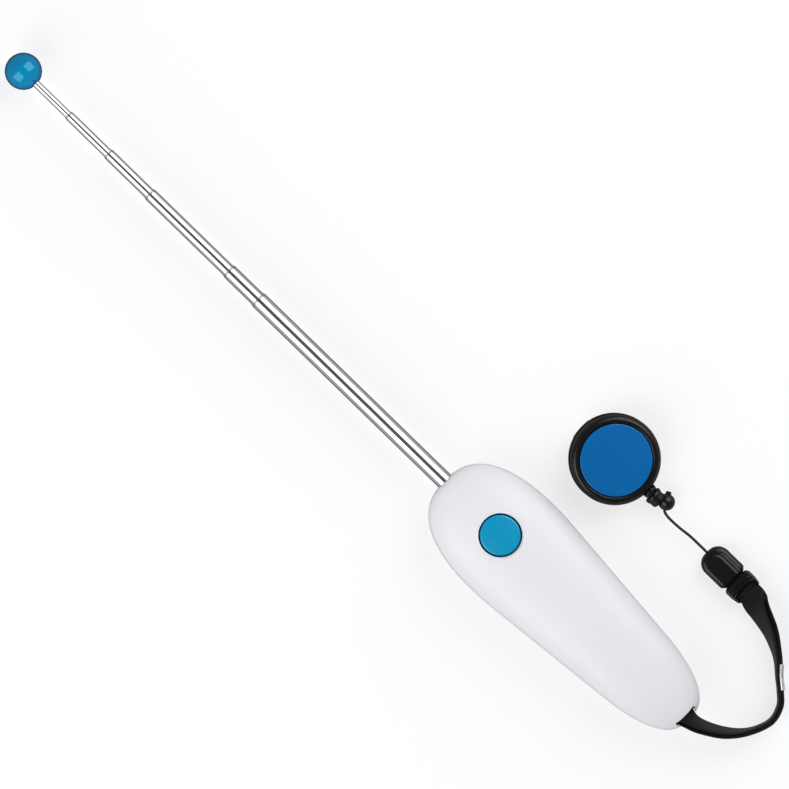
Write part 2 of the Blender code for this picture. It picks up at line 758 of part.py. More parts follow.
def addRing(index, radius, rear, place):
    # An open brass band that drags inside the next larger section
    middle = radius + SLIDE_GAP / 2
    arc = []
    for step in range(ROUND_STEPS - 1):
        turn = 2 * pi * step / ROUND_STEPS
        arc.append((middle * cos(turn), middle * sin(turn)))
    name = f"friction_ring_{index + 1}"
    lift = rear + SWAGE_LENGTH + SEAT_GAP + RING_LENGTH / 2
    seat = place @ Matrix.Translation((0, 0, lift))
    ring = addPiece(name, stripMesh(name, arc, RING_LENGTH), "brass", seat)
    thicken(ring, SLIDE_GAP - 2 * RING_GAP)


def buildGuideTube():
    # Its collar sits behind the rear rib
    mouth = MOUTH_LENGTH
    mouthRadius = TUBE_RADIUS + BORE_GAP
    collarFront = RIB_X[2] - RIB_THICKNESS / 2 - SEAT_GAP - GUIDE_FRONT_X
    collarRear = collarFront - GUIDE_COLLAR_LENGTH
    profile = [
        (GUIDE_RADIUS, 0), (GUIDE_RADIUS, collarFront), (GUIDE_COLLAR_RADIUS, collarFront),
        (GUIDE_COLLAR_RADIUS, collarRear), (GUIDE_RADIUS, collarRear), (GUIDE_RADIUS, -GUIDE_LENGTH),
        (GUIDE_INNER, -GUIDE_LENGTH), (GUIDE_INNER, -mouth), (mouthRadius, -0.4 * mouth), (mouthRadius, 0),
    ]
    mesh = turnedMesh("guide_tube", profile, loop=True)
    addPiece("guide_tube", mesh, "spring_steel", alongX(GUIDE_FRONT_X))


def buildStick():
    swage = SLIDE_GAP - 2 * RING_GAP
    for index in range(TUBE_COUNT):
        radius = sectionRadius(index)
        length = TUBE_LENGTH if index == 0 else INNER_LENGTH
        place = alongX(sectionFront(index))
        name = f"tube_{index + 1}"
        mouthRadius = sectionRadius(index + 1) + BORE_GAP
        addPiece(name, tubeMesh(name, radius, length, TUBE_WALL, mouthRadius, swage), "chrome", place)
        addRing(index, radius, -length, place)
    buildTip(swage)


def buildTip(swage):
    radius = sectionRadius(TUBE_COUNT)
    ballX = sectionFront(TUBE_COUNT) + BALL_DIAMETER / 2
    front = BALL_SOCKET
    rear = -INNER_LENGTH
    profile = [
        (0, front), (radius - MOUTH_LIP, front), (radius, front - MOUTH_LENGTH),
        (radius, rear + SWAGE_LENGTH), (radius + swage, rear + 0.7 * SWAGE_LENGTH),
        (radius + swage, rear), (0, rear),
    ]
    place = alongX(sectionFront(TUBE_COUNT))
    addPiece("tip_rod", turnedMesh("tip_rod", profile), "chrome", place)
    addRing(TUBE_COUNT, radius, rear, place)
    build = bmesh.new()
    bmesh.ops.create_uvsphere(build, u_segments=24, v_segments=12, radius=BALL_DIAMETER / 2)
    ball = addPiece("target_ball", smoothMesh(toMesh(build, "target_ball")), "blue_ball", alongX(ballX))
    depth = BALL_SOCKET + SEAT_GAP
    socket = rodMesh("ball_socket", radius + SEAT_GAP, -BALL_DIAMETER, depth - BALL_DIAMETER / 2)
    cut(ball, addCutter("ball_socket", socket, alongX(ballX)))


# Clicker

def buildClickerFrame():
    low = (FRAME_REAR_X, -FRAME_HALF_WIDTH, FRAME_FLOOR)
    high = (FRAME_FRONT_X, FRAME_HALF_WIDTH, FRAME_TOP)
    frame = addPiece("clicker_frame", boxMesh("clicker_frame", low, high), "black_plastic")
    anvilLow = (LEAF_CLAMP_X + SEAT_GAP, -LEAF_WIDTH / 2, FRAME_TOP - FRAME_THICKNESS / 2)
    anvilHigh = (FRAME_FRONT_X, LEAF_WIDTH / 2, LEAF_HEIGHT - LEAF_THICKNESS / 2 - SEAT_GAP)
    join(frame, addCutter("leaf_anvil", boxMesh("leaf_anvil", anvilLow, anvilHigh)))
    side = FRAME_HALF_WIDTH - FRAME_BORDER_SIDE
    windowLow = (FRAME_REAR_X + FRAME_BORDER_REAR, -side, FRAME_FLOOR - SHELL_WALL)
    windowHigh = (FRAME_FRONT_X - FRAME_BORDER_FRONT, side, FRAME_TOP + SHELL_WALL)
    cut(frame, addCutter("frame_window", boxMesh("frame_window", windowLow, windowHigh)))
    hole = columnCutter("rivet_hole", RIVET_X, 0, RIVET_RADIUS + SEAT_GAP, FRAME_FLOOR - MM, LEAF_HEIGHT)
    cut(frame, hole)
    bevelEdges(frame, FRAME_BEVEL, 1)


def leafBow(share):
    # The leaf bows up between its clamp, share 0, and its free end, share 1
    return LEAF_BOW * sin(pi * share) * (1 - 0.35 * share)


def buildClickLeaf():
    path = [(FRAME_FRONT_X - RIVET_X, 0.0)]
    for step in range(LEAF_STEPS + 1):
        share = step / LEAF_STEPS
        x = LEAF_CLAMP_X + (LEAF_REAR_X - LEAF_CLAMP_X) * share
        path.append((x - RIVET_X, leafBow(share)))
    upright = Matrix.Rotation(radians(90), 4, "X")
    leaf = addPiece(
        "click_leaf", stripMesh("click_leaf", path, LEAF_WIDTH), "spring_steel",
        Matrix.Translation((RIVET_X, 0, LEAF_HEIGHT)) @ upright)
    thicken(leaf, LEAF_THICKNESS)
    hole = columnCutter("leaf_hole", RIVET_X, 0, RIVET_RADIUS + SEAT_GAP, LEAF_HEIGHT - MM, LEAF_HEIGHT + MM)
    cut(leaf, hole)


def buildLeafRivet():
    seat = LEAF_HEIGHT + LEAF_THICKNESS / 2 + SEAT_GAP
    profile = [
        (0, seat + RIVET_HEAD_HEIGHT), (RIVET_HEAD_RADIUS * 0.6, seat + RIVET_HEAD_HEIGHT),
        (RIVET_HEAD_RADIUS, seat + RIVET_HEAD_HEIGHT / 3),
        (RIVET_HEAD_RADIUS, seat), (RIVET_RADIUS, seat), (RIVET_RADIUS, FRAME_FLOOR + SEAT_GAP),
        (0, FRAME_FLOOR + SEAT_GAP),
    ]
    addPiece("leaf_rivet", turnedMesh("leaf_rivet", profile, steps=16), "brass",
             Matrix.Translation((RIVET_X, 0, 0)))


def leafTopUnderButton():
    share = (LEAF_CLAMP_X - BUTTON_X) / (LEAF_CLAMP_X - LEAF_REAR_X)
    return LEAF_HEIGHT + leafBow(share) + LEAF_THICKNESS / 2


def buildButton():
    edge = BUTTON_TOP - BUTTON_EDGE
    flangeLow = BUTTON_FLANGE_TOP - BUTTON_FLANGE_THICKNESS
    stemLow = leafTopUnderButton() + SEAT_GAP
    profile = [
        (0, BUTTON_TOP - BUTTON_DISH), (BUTTON_RADIUS * 0.45, BUTTON_TOP - BUTTON_DISH * 0.75),
        (BUTTON_RADIUS * 0.8, BUTTON_TOP - BUTTON_DISH * 0.1), (BUTTON_RADIUS * 0.9, BUTTON_TOP),
        (BUTTON_RADIUS * 0.97, BUTTON_TOP - BUTTON_EDGE / 3), (BUTTON_RADIUS, edge),
        (BUTTON_RADIUS, BUTTON_FLANGE_TOP), (BUTTON_FLANGE_RADIUS, BUTTON_FLANGE_TOP),
        (BUTTON_FLANGE_RADIUS, flangeLow), (BUTTON_STEM_RADIUS, flangeLow),
        (BUTTON_STEM_RADIUS, stemLow + BUTTON_NOSE_HEIGHT), (BUTTON_NOSE_RADIUS, stemLow), (0, stemLow),
    ]
    addPiece("click_button", turnedMesh("click_button", profile, steps=BUTTON_STEPS), "blue_button",
             Matrix.Translation((BUTTON_X, 0, 0)))


# Webbing loop

def strapStations():
    # Route points: place, twist from flat to on edge, and how far the two layers part
    stations = [(PIN_X - SEAT_GAP, 0.0, AXIS_HEIGHT, 0, PIN_WRAP)]
    for back, aside, up, twist, parting in STRAP_ROUTE:
        place = (PIN_X + back * MM, aside * MM, AXIS_HEIGHT + up * MM)
        stations.append((*place, twist, LAYER_OFFSET * parting))
    stations.append((BAR_X - 2 * BAR_WRAP, BUCKLE_Y, BUCKLE_Z, 10, BAR_WRAP))
    stations.append((BAR_X - SEAT_GAP, BUCKLE_Y, BUCKLE_Z, 0, BAR_WRAP))
    return stations


def strapFrames(perSpan=4):
    stations = strapStations()
    places = smoothRoute([Vector(s[:3]) for s in stations], perSpan)
    extras = smoothRoute([Vector((radians(s[3]), s[4], 0)) for s in stations], perSpan)
    frames = []
    for index, centre in enumerate(places):
        before = places[max(index - 1, 0)]
        after = places[min(index + 1, len(places) - 1)]
        run = (after - before).normalized()
        if index in (0, len(places) - 1):
            run = Vector((run.x, 0, 0)).normalized()
        side = run.cross(Vector((0, 0, 1))).normalized()
        twist, offset = extras[index].x, extras[index].y
        width = side * cos(twist) + side.cross(run) * sin(twist)
        frames.append((centre, width, run.cross(width).normalized(), offset))
    return frames


def ribbonSection(centre, width, across, breadth=STRAP_WIDTH, depth=STRAP_THICKNESS):
    flat = breadth / 2 - depth * 0.3
    edge = depth / 2
    side = breadth / 2
    corners = [(side, 0), (flat, edge), (-flat, edge), (-side, 0), (-flat, -edge), (flat, -edge)]
    return [centre + width * u + across * v for u, v in corners]


def buildStrap():
    frames = strapFrames()
    inner = [ribbonSection(c - across * offset, width, across) for c, width, across, offset in frames]
    outer = [ribbonSection(c + across * offset, width, across) for c, width, across, offset in frames]
    pin = Vector((PIN_X, 0, AXIS_HEIGHT))
    bar = Vector((BAR_X, BUCKLE_Y, BUCKLE_Z))
    pinTurn = turnRings(pin, PIN_WRAP, frames[0][1], -1)
    barTurn = turnRings(bar, BAR_WRAP, frames[-1][1], 1)
    addPiece("strap_inner", loftMesh("strap_inner", pinTurn + inner), "webbing")
    addPiece("strap_outer", loftMesh("strap_outer", outer + barTurn), "webbing")


def turnRings(centre, reach, width, facing):
    # Half a turn of webbing round a pin or a bar, from below it to above it
    rings = []
    for step in range(TURN_STEPS + 1):
        angle = -pi / 2 + pi * step / TURN_STEPS
        radial = Vector((cos(angle), 0, sin(angle)))
        rings.append(ribbonSection(centre + radial * reach, width, radial * facing))
    return rings


def buildCrimp():
    # A metal sleeve closed round the outer run only
    frames = strapFrames()
    centre = frames[round(CRIMP_SHARE * (len(frames) - 1))][0]
    near = [frame for frame in frames if (frame[0] - centre).length < CRIMP_LENGTH / 2]
    breadth = STRAP_WIDTH + 2 * SEAT_GAP
    depth = STRAP_THICKNESS + 2 * SEAT_GAP
    wall = 2 * CRIMP_WALL
    outside = []
    inside = []
    for place, width, across, offset in near:
        spot = place + across * offset
        outside.append(ribbonSection(spot, width, across, breadth + wall, depth + wall))
        inside.append(ribbonSection(spot, width, across, breadth, depth))
    mesh = loftMesh("strap_crimp", outside + list(reversed(inside)), closed=True)
    addPiece("strap_crimp", mesh, "chrome")


def buildStrapPin():
    profile = [
        (0, PIN_HALF_LENGTH), (PIN_RADIUS * 0.7, PIN_HALF_LENGTH),
        (PIN_RADIUS, PIN_HALF_LENGTH - 0.4 * MM), (PIN_RADIUS, 0.4 * MM - PIN_HALF_LENGTH),
        (PIN_RADIUS * 0.7, -PIN_HALF_LENGTH), (0, -PIN_HALF_LENGTH),
    ]
    addPiece("strap_pin", turnedMesh("strap_pin", profile, steps=16), "spring_steel",
             alongY(PIN_X, 0, AXIS_HEIGHT))


# Buckle

def roundedPlan(length, width, nose, steps=6):
    # Seen from above: square at x = -length, rounded at x = 0
    half = width / 2
    points = [(-length, half), (-length, -half)]
    for side in (-1, 1):
        for step in range(steps + 1):
            turn = pi / 2 * step / steps
            angle = turn if side < 0 else pi / 2 - turn
            points.append((-nose + nose * sin(angle), side * (half - nose + nose * cos(angle))))
    return points


def buildSocket():
    half = BUCKLE_THICKNESS / 2
    place = Matrix.Translation((BUCKLE_FRONT_X, BUCKLE_Y, BUCKLE_Z))
    plan = roundedPlan(SOCKET_LENGTH, BUCKLE_WIDTH, BUCKLE_WIDTH * SOCKET_NOSE)
    socket = addPiece("buckle_socket", plateMesh("buckle_socket", plan, -half, half), "black_plastic", place)
    bevelEdges(socket, SOCKET_BEVEL, 3, radians(50))
    hollow = boxMesh(
        "socket_hollow",
        (-SOCKET_LENGTH - MM, SOCKET_WALL - BUCKLE_WIDTH / 2, SOCKET_WALL - half),
        (SOCKET_DEPTH - SOCKET_LENGTH, BUCKLE_WIDTH / 2 - SOCKET_WALL, half - SOCKET_WALL),
    )
    cut(socket, addCutter("socket_hollow", hollow, place))
    cordHole = rodMesh("cord_hole", CORD_RADIUS + SEAT_GAP, -SOCKET_LENGTH, MM, 12)
    cut(socket, addCutter("cord_hole", cordHole, alongX(BUCKLE_FRONT_X, BUCKLE_Y, BUCKLE_Z)))
    groove = boxMesh(
        "latch_groove",
        (-LATCH_START - LATCH_LENGTH, LATCH_Y - LATCH_WIDTH / 2, half - LATCH_DEPTH),
        (-LATCH_START, LATCH_Y + LATCH_WIDTH / 2, half + MM),
    )
    cut(socket, addCutter("latch_groove", groove, place))


def buildPlug():
    half = BUCKLE_THICKNESS / 2
    side = BUCKLE_WIDTH / 2
    place = Matrix.Translation((PLUG_FRONT_X, BUCKLE_Y, BUCKLE_Z))
    corner = PLUG_CORNER
    plan = [
        (0, side - corner), (-corner, side), (PLUG_TAPER - PLUG_LENGTH, side),
        (-PLUG_LENGTH, side - corner / 2), (-PLUG_LENGTH, corner / 2 - side),
        (PLUG_TAPER - PLUG_LENGTH, -side), (-corner, -side), (0, corner - side),
    ]
    plug = addPiece("buckle_plug", plateMesh("buckle_plug", plan, -half, half), "black_plastic", place)
    bevelEdges(plug, PLUG_BEVEL, 2, radians(50))
    reach = BUCKLE_WIDTH / 2 - SOCKET_WALL - SEAT_GAP
    thick = half - SOCKET_WALL - SEAT_GAP
    sides = (("left", reach - PRONG_WIDTH, reach), ("right", -reach, PRONG_WIDTH - reach))
    for name, low, high in sides:
        prong = boxMesh("prong", (-MM, low, -thick), (PRONG_LENGTH, high, thick))
        join(plug, addCutter(f"prong_{name}", prong, place))
    slotHalf = STRAP_WIDTH / 2 + SEAT_GAP
    barX = BAR_X - PLUG_FRONT_X
    slotFront = barX + BAR_RADIUS + STRAP_THICKNESS + 2 * SEAT_GAP
    forkLow = (-PLUG_LENGTH - MM, -slotHalf, -half - MM)
    slot = boxMesh("strap_fork", forkLow, (slotFront, slotHalf, half + MM))
    cut(plug, addCutter("strap_fork", slot, place))
    barHalf = (slotHalf + side) / 2
    bar = rodMesh("strap_bar", BAR_RADIUS, -barHalf, barHalf, 16)
    join(plug, addCutter("strap_bar", bar, alongY(BAR_X, BUCKLE_Y, BUCKLE_Z)))


# Pull cord and bead

def cordRoute():
    # From inside the reel's nozzle, through the bead, to the buckle's cord hole
    start = CASE_WALL * 1.5 - REEL_RADIUS
    mouth = BEAD_RADIUS + SEAT_GAP - BEAD_REACH
    bead = reelPoint(-BEAD_REACH, BEAD_SIDE)
    hole = Vector((BUCKLE_FRONT_X, BUCKLE_Y, BUCKLE_Z))
    return [
        reelPoint(start),
        reelPoint((start + mouth) / 2),
        reelPoint(mouth),
        bead + Vector((0.8, 0.3, 0.0)) * MM,
        bead + Vector((-0.7, 1.5, -0.1)) * MM,
        bead + Vector((-2.0, 2.9, -0.4)) * MM,
        bead + Vector((-4.6, 3.4, -0.7)) * MM,
        bead + Vector((-9.4, 3.3, -1.0)) * MM,
        bead + Vector((-14.2, 2.8, -1.0)) * MM,
        hole + Vector((3.0, 0.0, 0.0)) * MM,
        hole + Vector((-1.6, 0.0, 0.0)) * MM,
        hole + Vector((-3.4, 0.0, 0.0)) * MM,
    ]


def reelPoint(x, y=0.0, z=0.0):
    return reelMatrix() @ Vector((x, y, z))


def reelHeight():
    # The clip's outer face lies flat on the ground, and the tilt is its wedge
    outer = CASE_HALF + SEAT_GAP + CLIP_THICKNESS / cos(REEL_TILT)
    return CLIP_TIP * sin(REEL_TILT) + outer * cos(REEL_TILT)


def reelMatrix():
    turn = Matrix.Rotation(REEL_HEADING, 4, "Z") @ Matrix.Rotation(-REEL_TILT, 4, "Y")
    return Matrix.Translation((REEL_X, REEL_Y, reelHeight())) @ turn


def buildCord():
    addPiece("reel_cord", cordMesh("reel_cord", CORD_RADIUS, smoothRoute(cordRoute(), 3)), "cord")


def buildBead():
    place = reelMatrix() @ Matrix.Translation((-BEAD_REACH, BEAD_SIDE, 0))
    build = bmesh.new()
    bmesh.ops.create_uvsphere(build, u_segments=16, v_segments=8, radius=BEAD_RADIUS)
    bead = addPiece("cord_bead", smoothMesh(toMesh(build, "cord_bead")), "black_plastic", place)
    nub = rodMesh("bead_nub", NUB_RADIUS, 0, BEAD_RADIUS + NUB_HEIGHT, 12)
    nubPlace = place @ Matrix.Rotation(radians(90), 4, "X") @ Matrix.Rotation(radians(10), 4, "Y")
    join(bead, addCutter("bead_nub", nub, nubPlace))
    route = smoothRoute(cordRoute(), 3)
    channel = cordMesh("bead_channel", CORD_RADIUS + SEAT_GAP, route)
    cut(bead, addCutter("bead_channel", channel))


# Reel

def buildReelCase(parent):
    rim = CASE_RIM
    outer = REEL_RADIUS
    inner = REEL_RADIUS - CASE_WALL
    split = SEAT_GAP / 2
    floor = CASE_HALF - CASE_WALL
    step = FACE_RADIUS + SEAT_GAP
    recess = CASE_HALF - FACE_THICKNESS
    ceiling = recess - CASE_WALL / 2
    front = [
        (0, recess), (step, recess), (step, CASE_HALF - 0.2 * MM), (step + 0.3 * MM, CASE_HALF),
        (outer - rim, CASE_HALF), (outer - 0.4 * rim, CASE_HALF - 0.3 * rim), (outer, CASE_HALF - rim),
        (outer, split), (inner, split), (inner, ceiling), (0, ceiling),
    ]
    back = [
        (0, -floor), (inner, -floor), (inner, -split), (outer, -split), (outer, rim - CASE_HALF),
        (outer - 0.4 * rim, 0.3 * rim - CASE_HALF), (outer - rim, -CASE_HALF), (0, -CASE_HALF),
    ]
    frontMesh = turnedMesh("reel_case_front", front, steps=REEL_STEPS)
    caseFront = addPiece("reel_case_front", frontMesh, "black_plastic", parent=parent)
    backMesh = turnedMesh("reel_case_back", back, steps=REEL_STEPS)
    caseBack = addPiece("reel_case_back", backMesh, "black_plastic", parent=parent)
    neckRoom = NOZZLE_RADIUS - NOZZLE_GROOVE + SEAT_GAP
    nozzleRoom = rodMesh("nozzle_room", neckRoom, -outer - rim, 2 * rim - inner)
    sideways = Matrix.Rotation(radians(90), 4, "Y")
    for shell, name in ((caseFront, "front"), (caseBack, "back")):
        cut(shell, addCutter(f"{name}_nozzle_room", nozzleRoom, sideways, parent))
    bore = rodMesh("axle_bore", AXLE_RADIUS + SEAT_GAP, -REEL_THICKNESS, 0, 16)
    cut(caseBack, addCutter("axle_bore", bore, parent=parent))


def buildNozzle(parent):
    # The wall of the case sits in a groove round the nozzle
    base = NOZZLE_RADIUS
    bore = CORD_RADIUS + SEAT_GAP
    neck = base - NOZZLE_GROOVE
    inside = REEL_RADIUS - CASE_WALL - 2 * SEAT_GAP
    outside = REEL_RADIUS + SEAT_GAP
    lip = inside - CASE_WALL / 2
    flange = outside + NOZZLE_FLANGE_REACH
    mouth = BEAD_REACH - BEAD_RADIUS - SEAT_GAP
    profile = [
        (base, -lip), (base, -inside), (neck, -inside), (neck, -outside), (base, -outside),
        (base, -outside - MM), (base * 0.85, 0.3 * MM - flange), (NOZZLE_FLANGE_RADIUS, -flange),
        (NOZZLE_FLANGE_RADIUS, -flange - NOZZLE_FLANGE_WIDTH), (NOZZLE_CUP_RADIUS, SEAT_GAP - mouth),
        (NOZZLE_CUP_RADIUS - SEAT_GAP, -mouth), (bore, -mouth), (bore, -lip),
    ]
    mesh = turnedMesh("cord_nozzle", profile, loop=True, steps=BORE_STEPS)
    addPiece("cord_nozzle", mesh, "black_plastic", Matrix.Rotation(radians(90), 4, "Y"), parent)


def buildFaceDisc(parent):
    top = CASE_HALF + FACE_PROUD
    low = CASE_HALF - FACE_THICKNESS + SEAT_GAP
    profile = [
        (0, top + FACE_CROWN), (FACE_RADIUS * 0.55, top + FACE_CROWN * 0.7), (FACE_RADIUS * 0.96, top),
        (FACE_RADIUS, top - FACE_CROWN), (FACE_RADIUS, low), (0, low),
    ]
    mesh = turnedMesh("reel_face_disc", profile, steps=REEL_STEPS)
    addPiece("reel_face_disc", mesh, "blue_face", parent=parent)


def spoolLevels():
    low = -(CASE_HALF - CASE_WALL) + SEAT_GAP
    high = CASE_HALF - FACE_THICKNESS - CASE_WALL / 2 - SEAT_GAP
    return low, high


def buildSpool(parent):
    low, high = spoolLevels()
    core = SPOOL_CORE_RADIUS
    hub = AXLE_RADIUS + SEAT_GAP
    cup = core - SPOOL_WALL
    profile = [
        (SPOOL_RADIUS, high), (SPOOL_RADIUS, high - SPOOL_FLANGE), (core, high - SPOOL_FLANGE),
        (core, low + SPOOL_FLANGE), (SPOOL_RADIUS, low + SPOOL_FLANGE), (SPOOL_RADIUS, low), (hub, low),
        (hub, low + SPOOL_FLANGE), (cup, low + SPOOL_FLANGE), (cup, high),
    ]
    mesh = turnedMesh("reel_spool", profile, loop=True, steps=REEL_STEPS)
    addPiece("reel_spool", mesh, "black_plastic", parent=parent)
    inner = core + SEAT_GAP
    outer = SPOOL_RADIUS - WINDING_INSET
    top = high - SPOOL_FLANGE - SEAT_GAP
    bottom = low + SPOOL_FLANGE + SEAT_GAP
    winding = [(outer, top), (outer, bottom), (inner, bottom), (inner, top)]
    mesh = turnedMesh("cord_winding", winding, loop=True, steps=REEL_STEPS)
    addPiece("cord_winding", mesh, "cord", parent=parent)


def buildSpring(parent):
    low, high = spoolLevels()
    bottom = low + SPOOL_FLANGE + SEAT_GAP
    top = high - SEAT_GAP
    first = AXLE_RADIUS + 2 * SEAT_GAP + SPRING_THICKNESS / 2
    last = SPOOL_CORE_RADIUS - SPOOL_WALL - 2 * SEAT_GAP
    steps = SPRING_TURNS * SPRING_STEPS
    spiral = []
    for step in range(steps + 1):
        turn = 2 * pi * step / SPRING_STEPS
        radius = first + (last - first) * step / steps
        spiral.append((radius * cos(turn), radius * sin(turn)))
    place = Matrix.Translation((0, 0, (bottom + top) / 2))
    mesh = stripMesh("reel_spring", spiral, top - bottom)
    spring = addPiece("reel_spring", mesh, "spring_steel", place, parent)
    thicken(spring, SPRING_THICKNESS)


def clipBaseLow():
    return -CASE_HALF - SEAT_GAP - CLIP_THICKNESS


def buildAxle(parent):
    low, high = spoolLevels()
    head = clipBaseLow() - SEAT_GAP / 2
    profile = [
        (0, high), (AXLE_RADIUS, high), (AXLE_RADIUS, head), (AXLE_HEAD_RADIUS, head),
        (AXLE_HEAD_RADIUS * 0.9, head - AXLE_HEAD_HEIGHT), (0, head - AXLE_HEAD_HEIGHT),
    ]
    addPiece("reel_axle", turnedMesh("reel_axle", profile, steps=16), "spring_steel", parent=parent)


def addStrip(name, path, parent):
    # The path is seen from the side, in the reel's x and z
    upright = Matrix.Rotation(radians(90), 4, "X")
    strip = addPiece(name, stripMesh(name, path, CLIP_WIDTH), "spring_steel", upright, parent)
    thicken(strip, CLIP_THICKNESS)
    return strip


def buildClip(parent):
    half = CLIP_THICKNESS / 2
    baseZ = clipBaseLow() + half
    plate = addStrip("clip_base", [(-CLIP_BASE_REACH, baseZ), (CLIP_REACH - SEAT_GAP, baseZ)], parent)
    bore = rodMesh("clip_bore", AXLE_RADIUS + SEAT_GAP, 2 * clipBaseLow(), 0, 16)
    cut(plate, addCutter("clip_bore", bore, parent=parent))
    tipZ = -CASE_HALF - SEAT_GAP - half / cos(REEL_TILT)
    rootZ = tipZ - tan(REEL_TILT) * (CLIP_REACH + CLIP_TIP)
    bend = (baseZ - rootZ) / 2
    path = [(-CLIP_TIP, tipZ), (CLIP_REACH, rootZ)]
    for step in range(1, CLIP_STEPS):
        angle = -pi / 2 + pi * step / CLIP_STEPS
        path.append((CLIP_REACH + bend * 0.8 * cos(angle), baseZ - bend + bend * sin(angle)))
    path.append((CLIP_REACH, baseZ))
    addStrip("belt_clip", path, parent)


def buildReel():
    parent = bpy.data.objects.new("reel_axis", None)
    PARTS.objects.link(parent)
    parent.matrix_basis = reelMatrix()
    buildReelCase(parent)
    buildNozzle(parent)
    buildFaceDisc(parent)
    buildSpool(parent)
    buildSpring(parent)
    buildAxle(parent)
    buildClip(parent)


buildUpperShell()
buildLowerShell()
buildScrews()
buildGuideTube()
buildStick()
buildClickerFrame()
buildClickLeaf()
buildLeafRivet()
buildButton()
buildStrapPin()
buildStrap()
buildCrimp()
buildPlug()
buildSocket()
buildCord()
buildBead()
buildReel()
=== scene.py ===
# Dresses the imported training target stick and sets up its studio.
import json
from math import asin, cos, pi, radians, sin, tan

import bmesh
import bpy
from mathutils import Matrix, Vector


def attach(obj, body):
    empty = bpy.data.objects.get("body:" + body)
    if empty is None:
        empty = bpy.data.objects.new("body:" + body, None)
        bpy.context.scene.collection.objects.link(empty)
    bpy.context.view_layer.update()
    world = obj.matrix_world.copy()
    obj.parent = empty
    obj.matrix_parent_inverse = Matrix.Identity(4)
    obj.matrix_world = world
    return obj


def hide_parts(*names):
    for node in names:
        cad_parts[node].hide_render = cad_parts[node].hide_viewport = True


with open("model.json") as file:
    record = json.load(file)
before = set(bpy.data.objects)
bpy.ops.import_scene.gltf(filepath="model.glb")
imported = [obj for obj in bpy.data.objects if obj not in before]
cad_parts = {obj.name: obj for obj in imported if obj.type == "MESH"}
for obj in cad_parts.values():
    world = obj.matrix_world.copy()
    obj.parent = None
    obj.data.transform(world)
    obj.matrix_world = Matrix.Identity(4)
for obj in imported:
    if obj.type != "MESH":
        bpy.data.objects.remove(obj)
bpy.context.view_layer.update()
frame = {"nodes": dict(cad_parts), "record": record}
nodes = frame["nodes"]
mm = 0.001
up = Vector((0, 0, 1))
axisHeight = 11 * mm      # of the stick above the table
play = 0.3 * mm           # between parts that don't touch
sharpAngle = 35           # degrees, from which an edge is shaded sharp
softAngle = 60            # the same on webbing, cords and ridges


class Sizes(dict):
    # a dictionary whose values are also read as sizes.name
    __getattr__ = dict.__getitem__


def newObject(name, data):
    obj = bpy.data.objects.new(name, data)
    bpy.context.scene.collection.objects.link(obj)
    return obj


camera = Sizes(
    aim=(92.9 * mm, -9.4 * mm, 9.0 * mm),   # picture centre on the table
    width=275 * mm,                         # of the view at that height
    distance=2000 * mm, nearest=10 * mm, sensor=36,
    heading=224.2,                          # the stick points up and to the left
)


def addCamera(v):
    data = bpy.data.cameras.new("camera")
    data.sensor_width = v.sensor
    data.lens = v.sensor * v.distance / v.width
    data.clip_start = v.nearest
    obj = newObject("camera", data)
    obj.location = Vector(v.aim) + up * v.distance
    obj.rotation_euler = (0, 0, radians(v.heading))
    bpy.context.scene.camera = obj


addCamera(camera)


# node trees

class Value:
    # a socket that takes part in sums
    def __init__(self, owner, socket):
        self.owner = owner
        self.socket = socket

    def math(self, operation, other, swapped=False):
        pair = (other, self) if swapped else (self, other)
        return self.owner.node("ShaderNodeMath", {"operation": operation}, {0: pair[0], 1: pair[1]})

    def __add__(self, other):
        return self.math("ADD", other)

    def __sub__(self, other):
        return self.math("SUBTRACT", other)

    def __mul__(self, other):
        return self.math("MULTIPLY", other)

    def __truediv__(self, other):
        return self.math("DIVIDE", other)

    def __radd__(self, other):
        return self.math("ADD", other, True)

    def __rsub__(self, other):
        return self.math("SUBTRACT", other, True)

    def __rmul__(self, other):
        return self.math("MULTIPLY", other, True)

    def __rtruediv__(self, other):
        return self.math("DIVIDE", other, True)

    def sine(self):
        return self.math("SINE", 0)


class NodeTree:
    def __init__(self, tree):
        self.tree = tree

    def node(self, kind, settings=None, values=None, output=0):
        made = self.tree.nodes.new(kind)
        for name, value in (settings or {}).items():
            setattr(made, name, value)
        for name, value in (values or {}).items():
            self.feed(made.inputs[name], value)
        return Value(self, made.outputs[output])

    def feed(self, socket, value):
        if isinstance(value, Value):
            self.tree.links.new(value.socket, socket)
        elif isinstance(value, list):     # a socket that takes many links
            for each in value:
                self.feed(socket, each)
        else:
            socket.default_value = value

    def ranged(self, value, fromLow, fromHigh, low, high):
        return self.node("ShaderNodeMapRange", None, {
            "Value": value, "From Min": fromLow, "From Max": fromHigh, "To Min": low, "To Max": high})

    def joinedXyz(self, **parts):
        return self.node("ShaderNodeCombineXYZ", None, {name.upper(): value for name, value in parts.items()})


# materials

# scales are in waves per metre, and dark and light are shares of the colour
noise = Sizes(roughness=0.55, low=0.3, high=0.7)
plastic = Sizes(flow=45, grain=2600, depth=0.1 * mm, glossier=0.04, duller=0.05)
plate = Sizes(hairlines=900, cloud=60, depth=0.02 * mm, glossier=0.7, duller=1.6, dark=0.96, light=1.03)
weave = Sizes(
    fuzz=5000, depth=0.12 * mm, strength=0.7, weftShare=0.72, threads=4, dark=0.55, light=2.1,
    lumpShare=0.7, threadShare=0.2, fuzzShare=0.25, roughness=0.8, glossiest=0.7, dullest=0.9, sheen=0.04)
braid = Sizes(
    fuzz=6000, depth=0.08 * mm, strength=0.7, dark=0.6, light=2.4, lumpShare=0.8, fuzzShare=0.2,
    roughness=0.75)


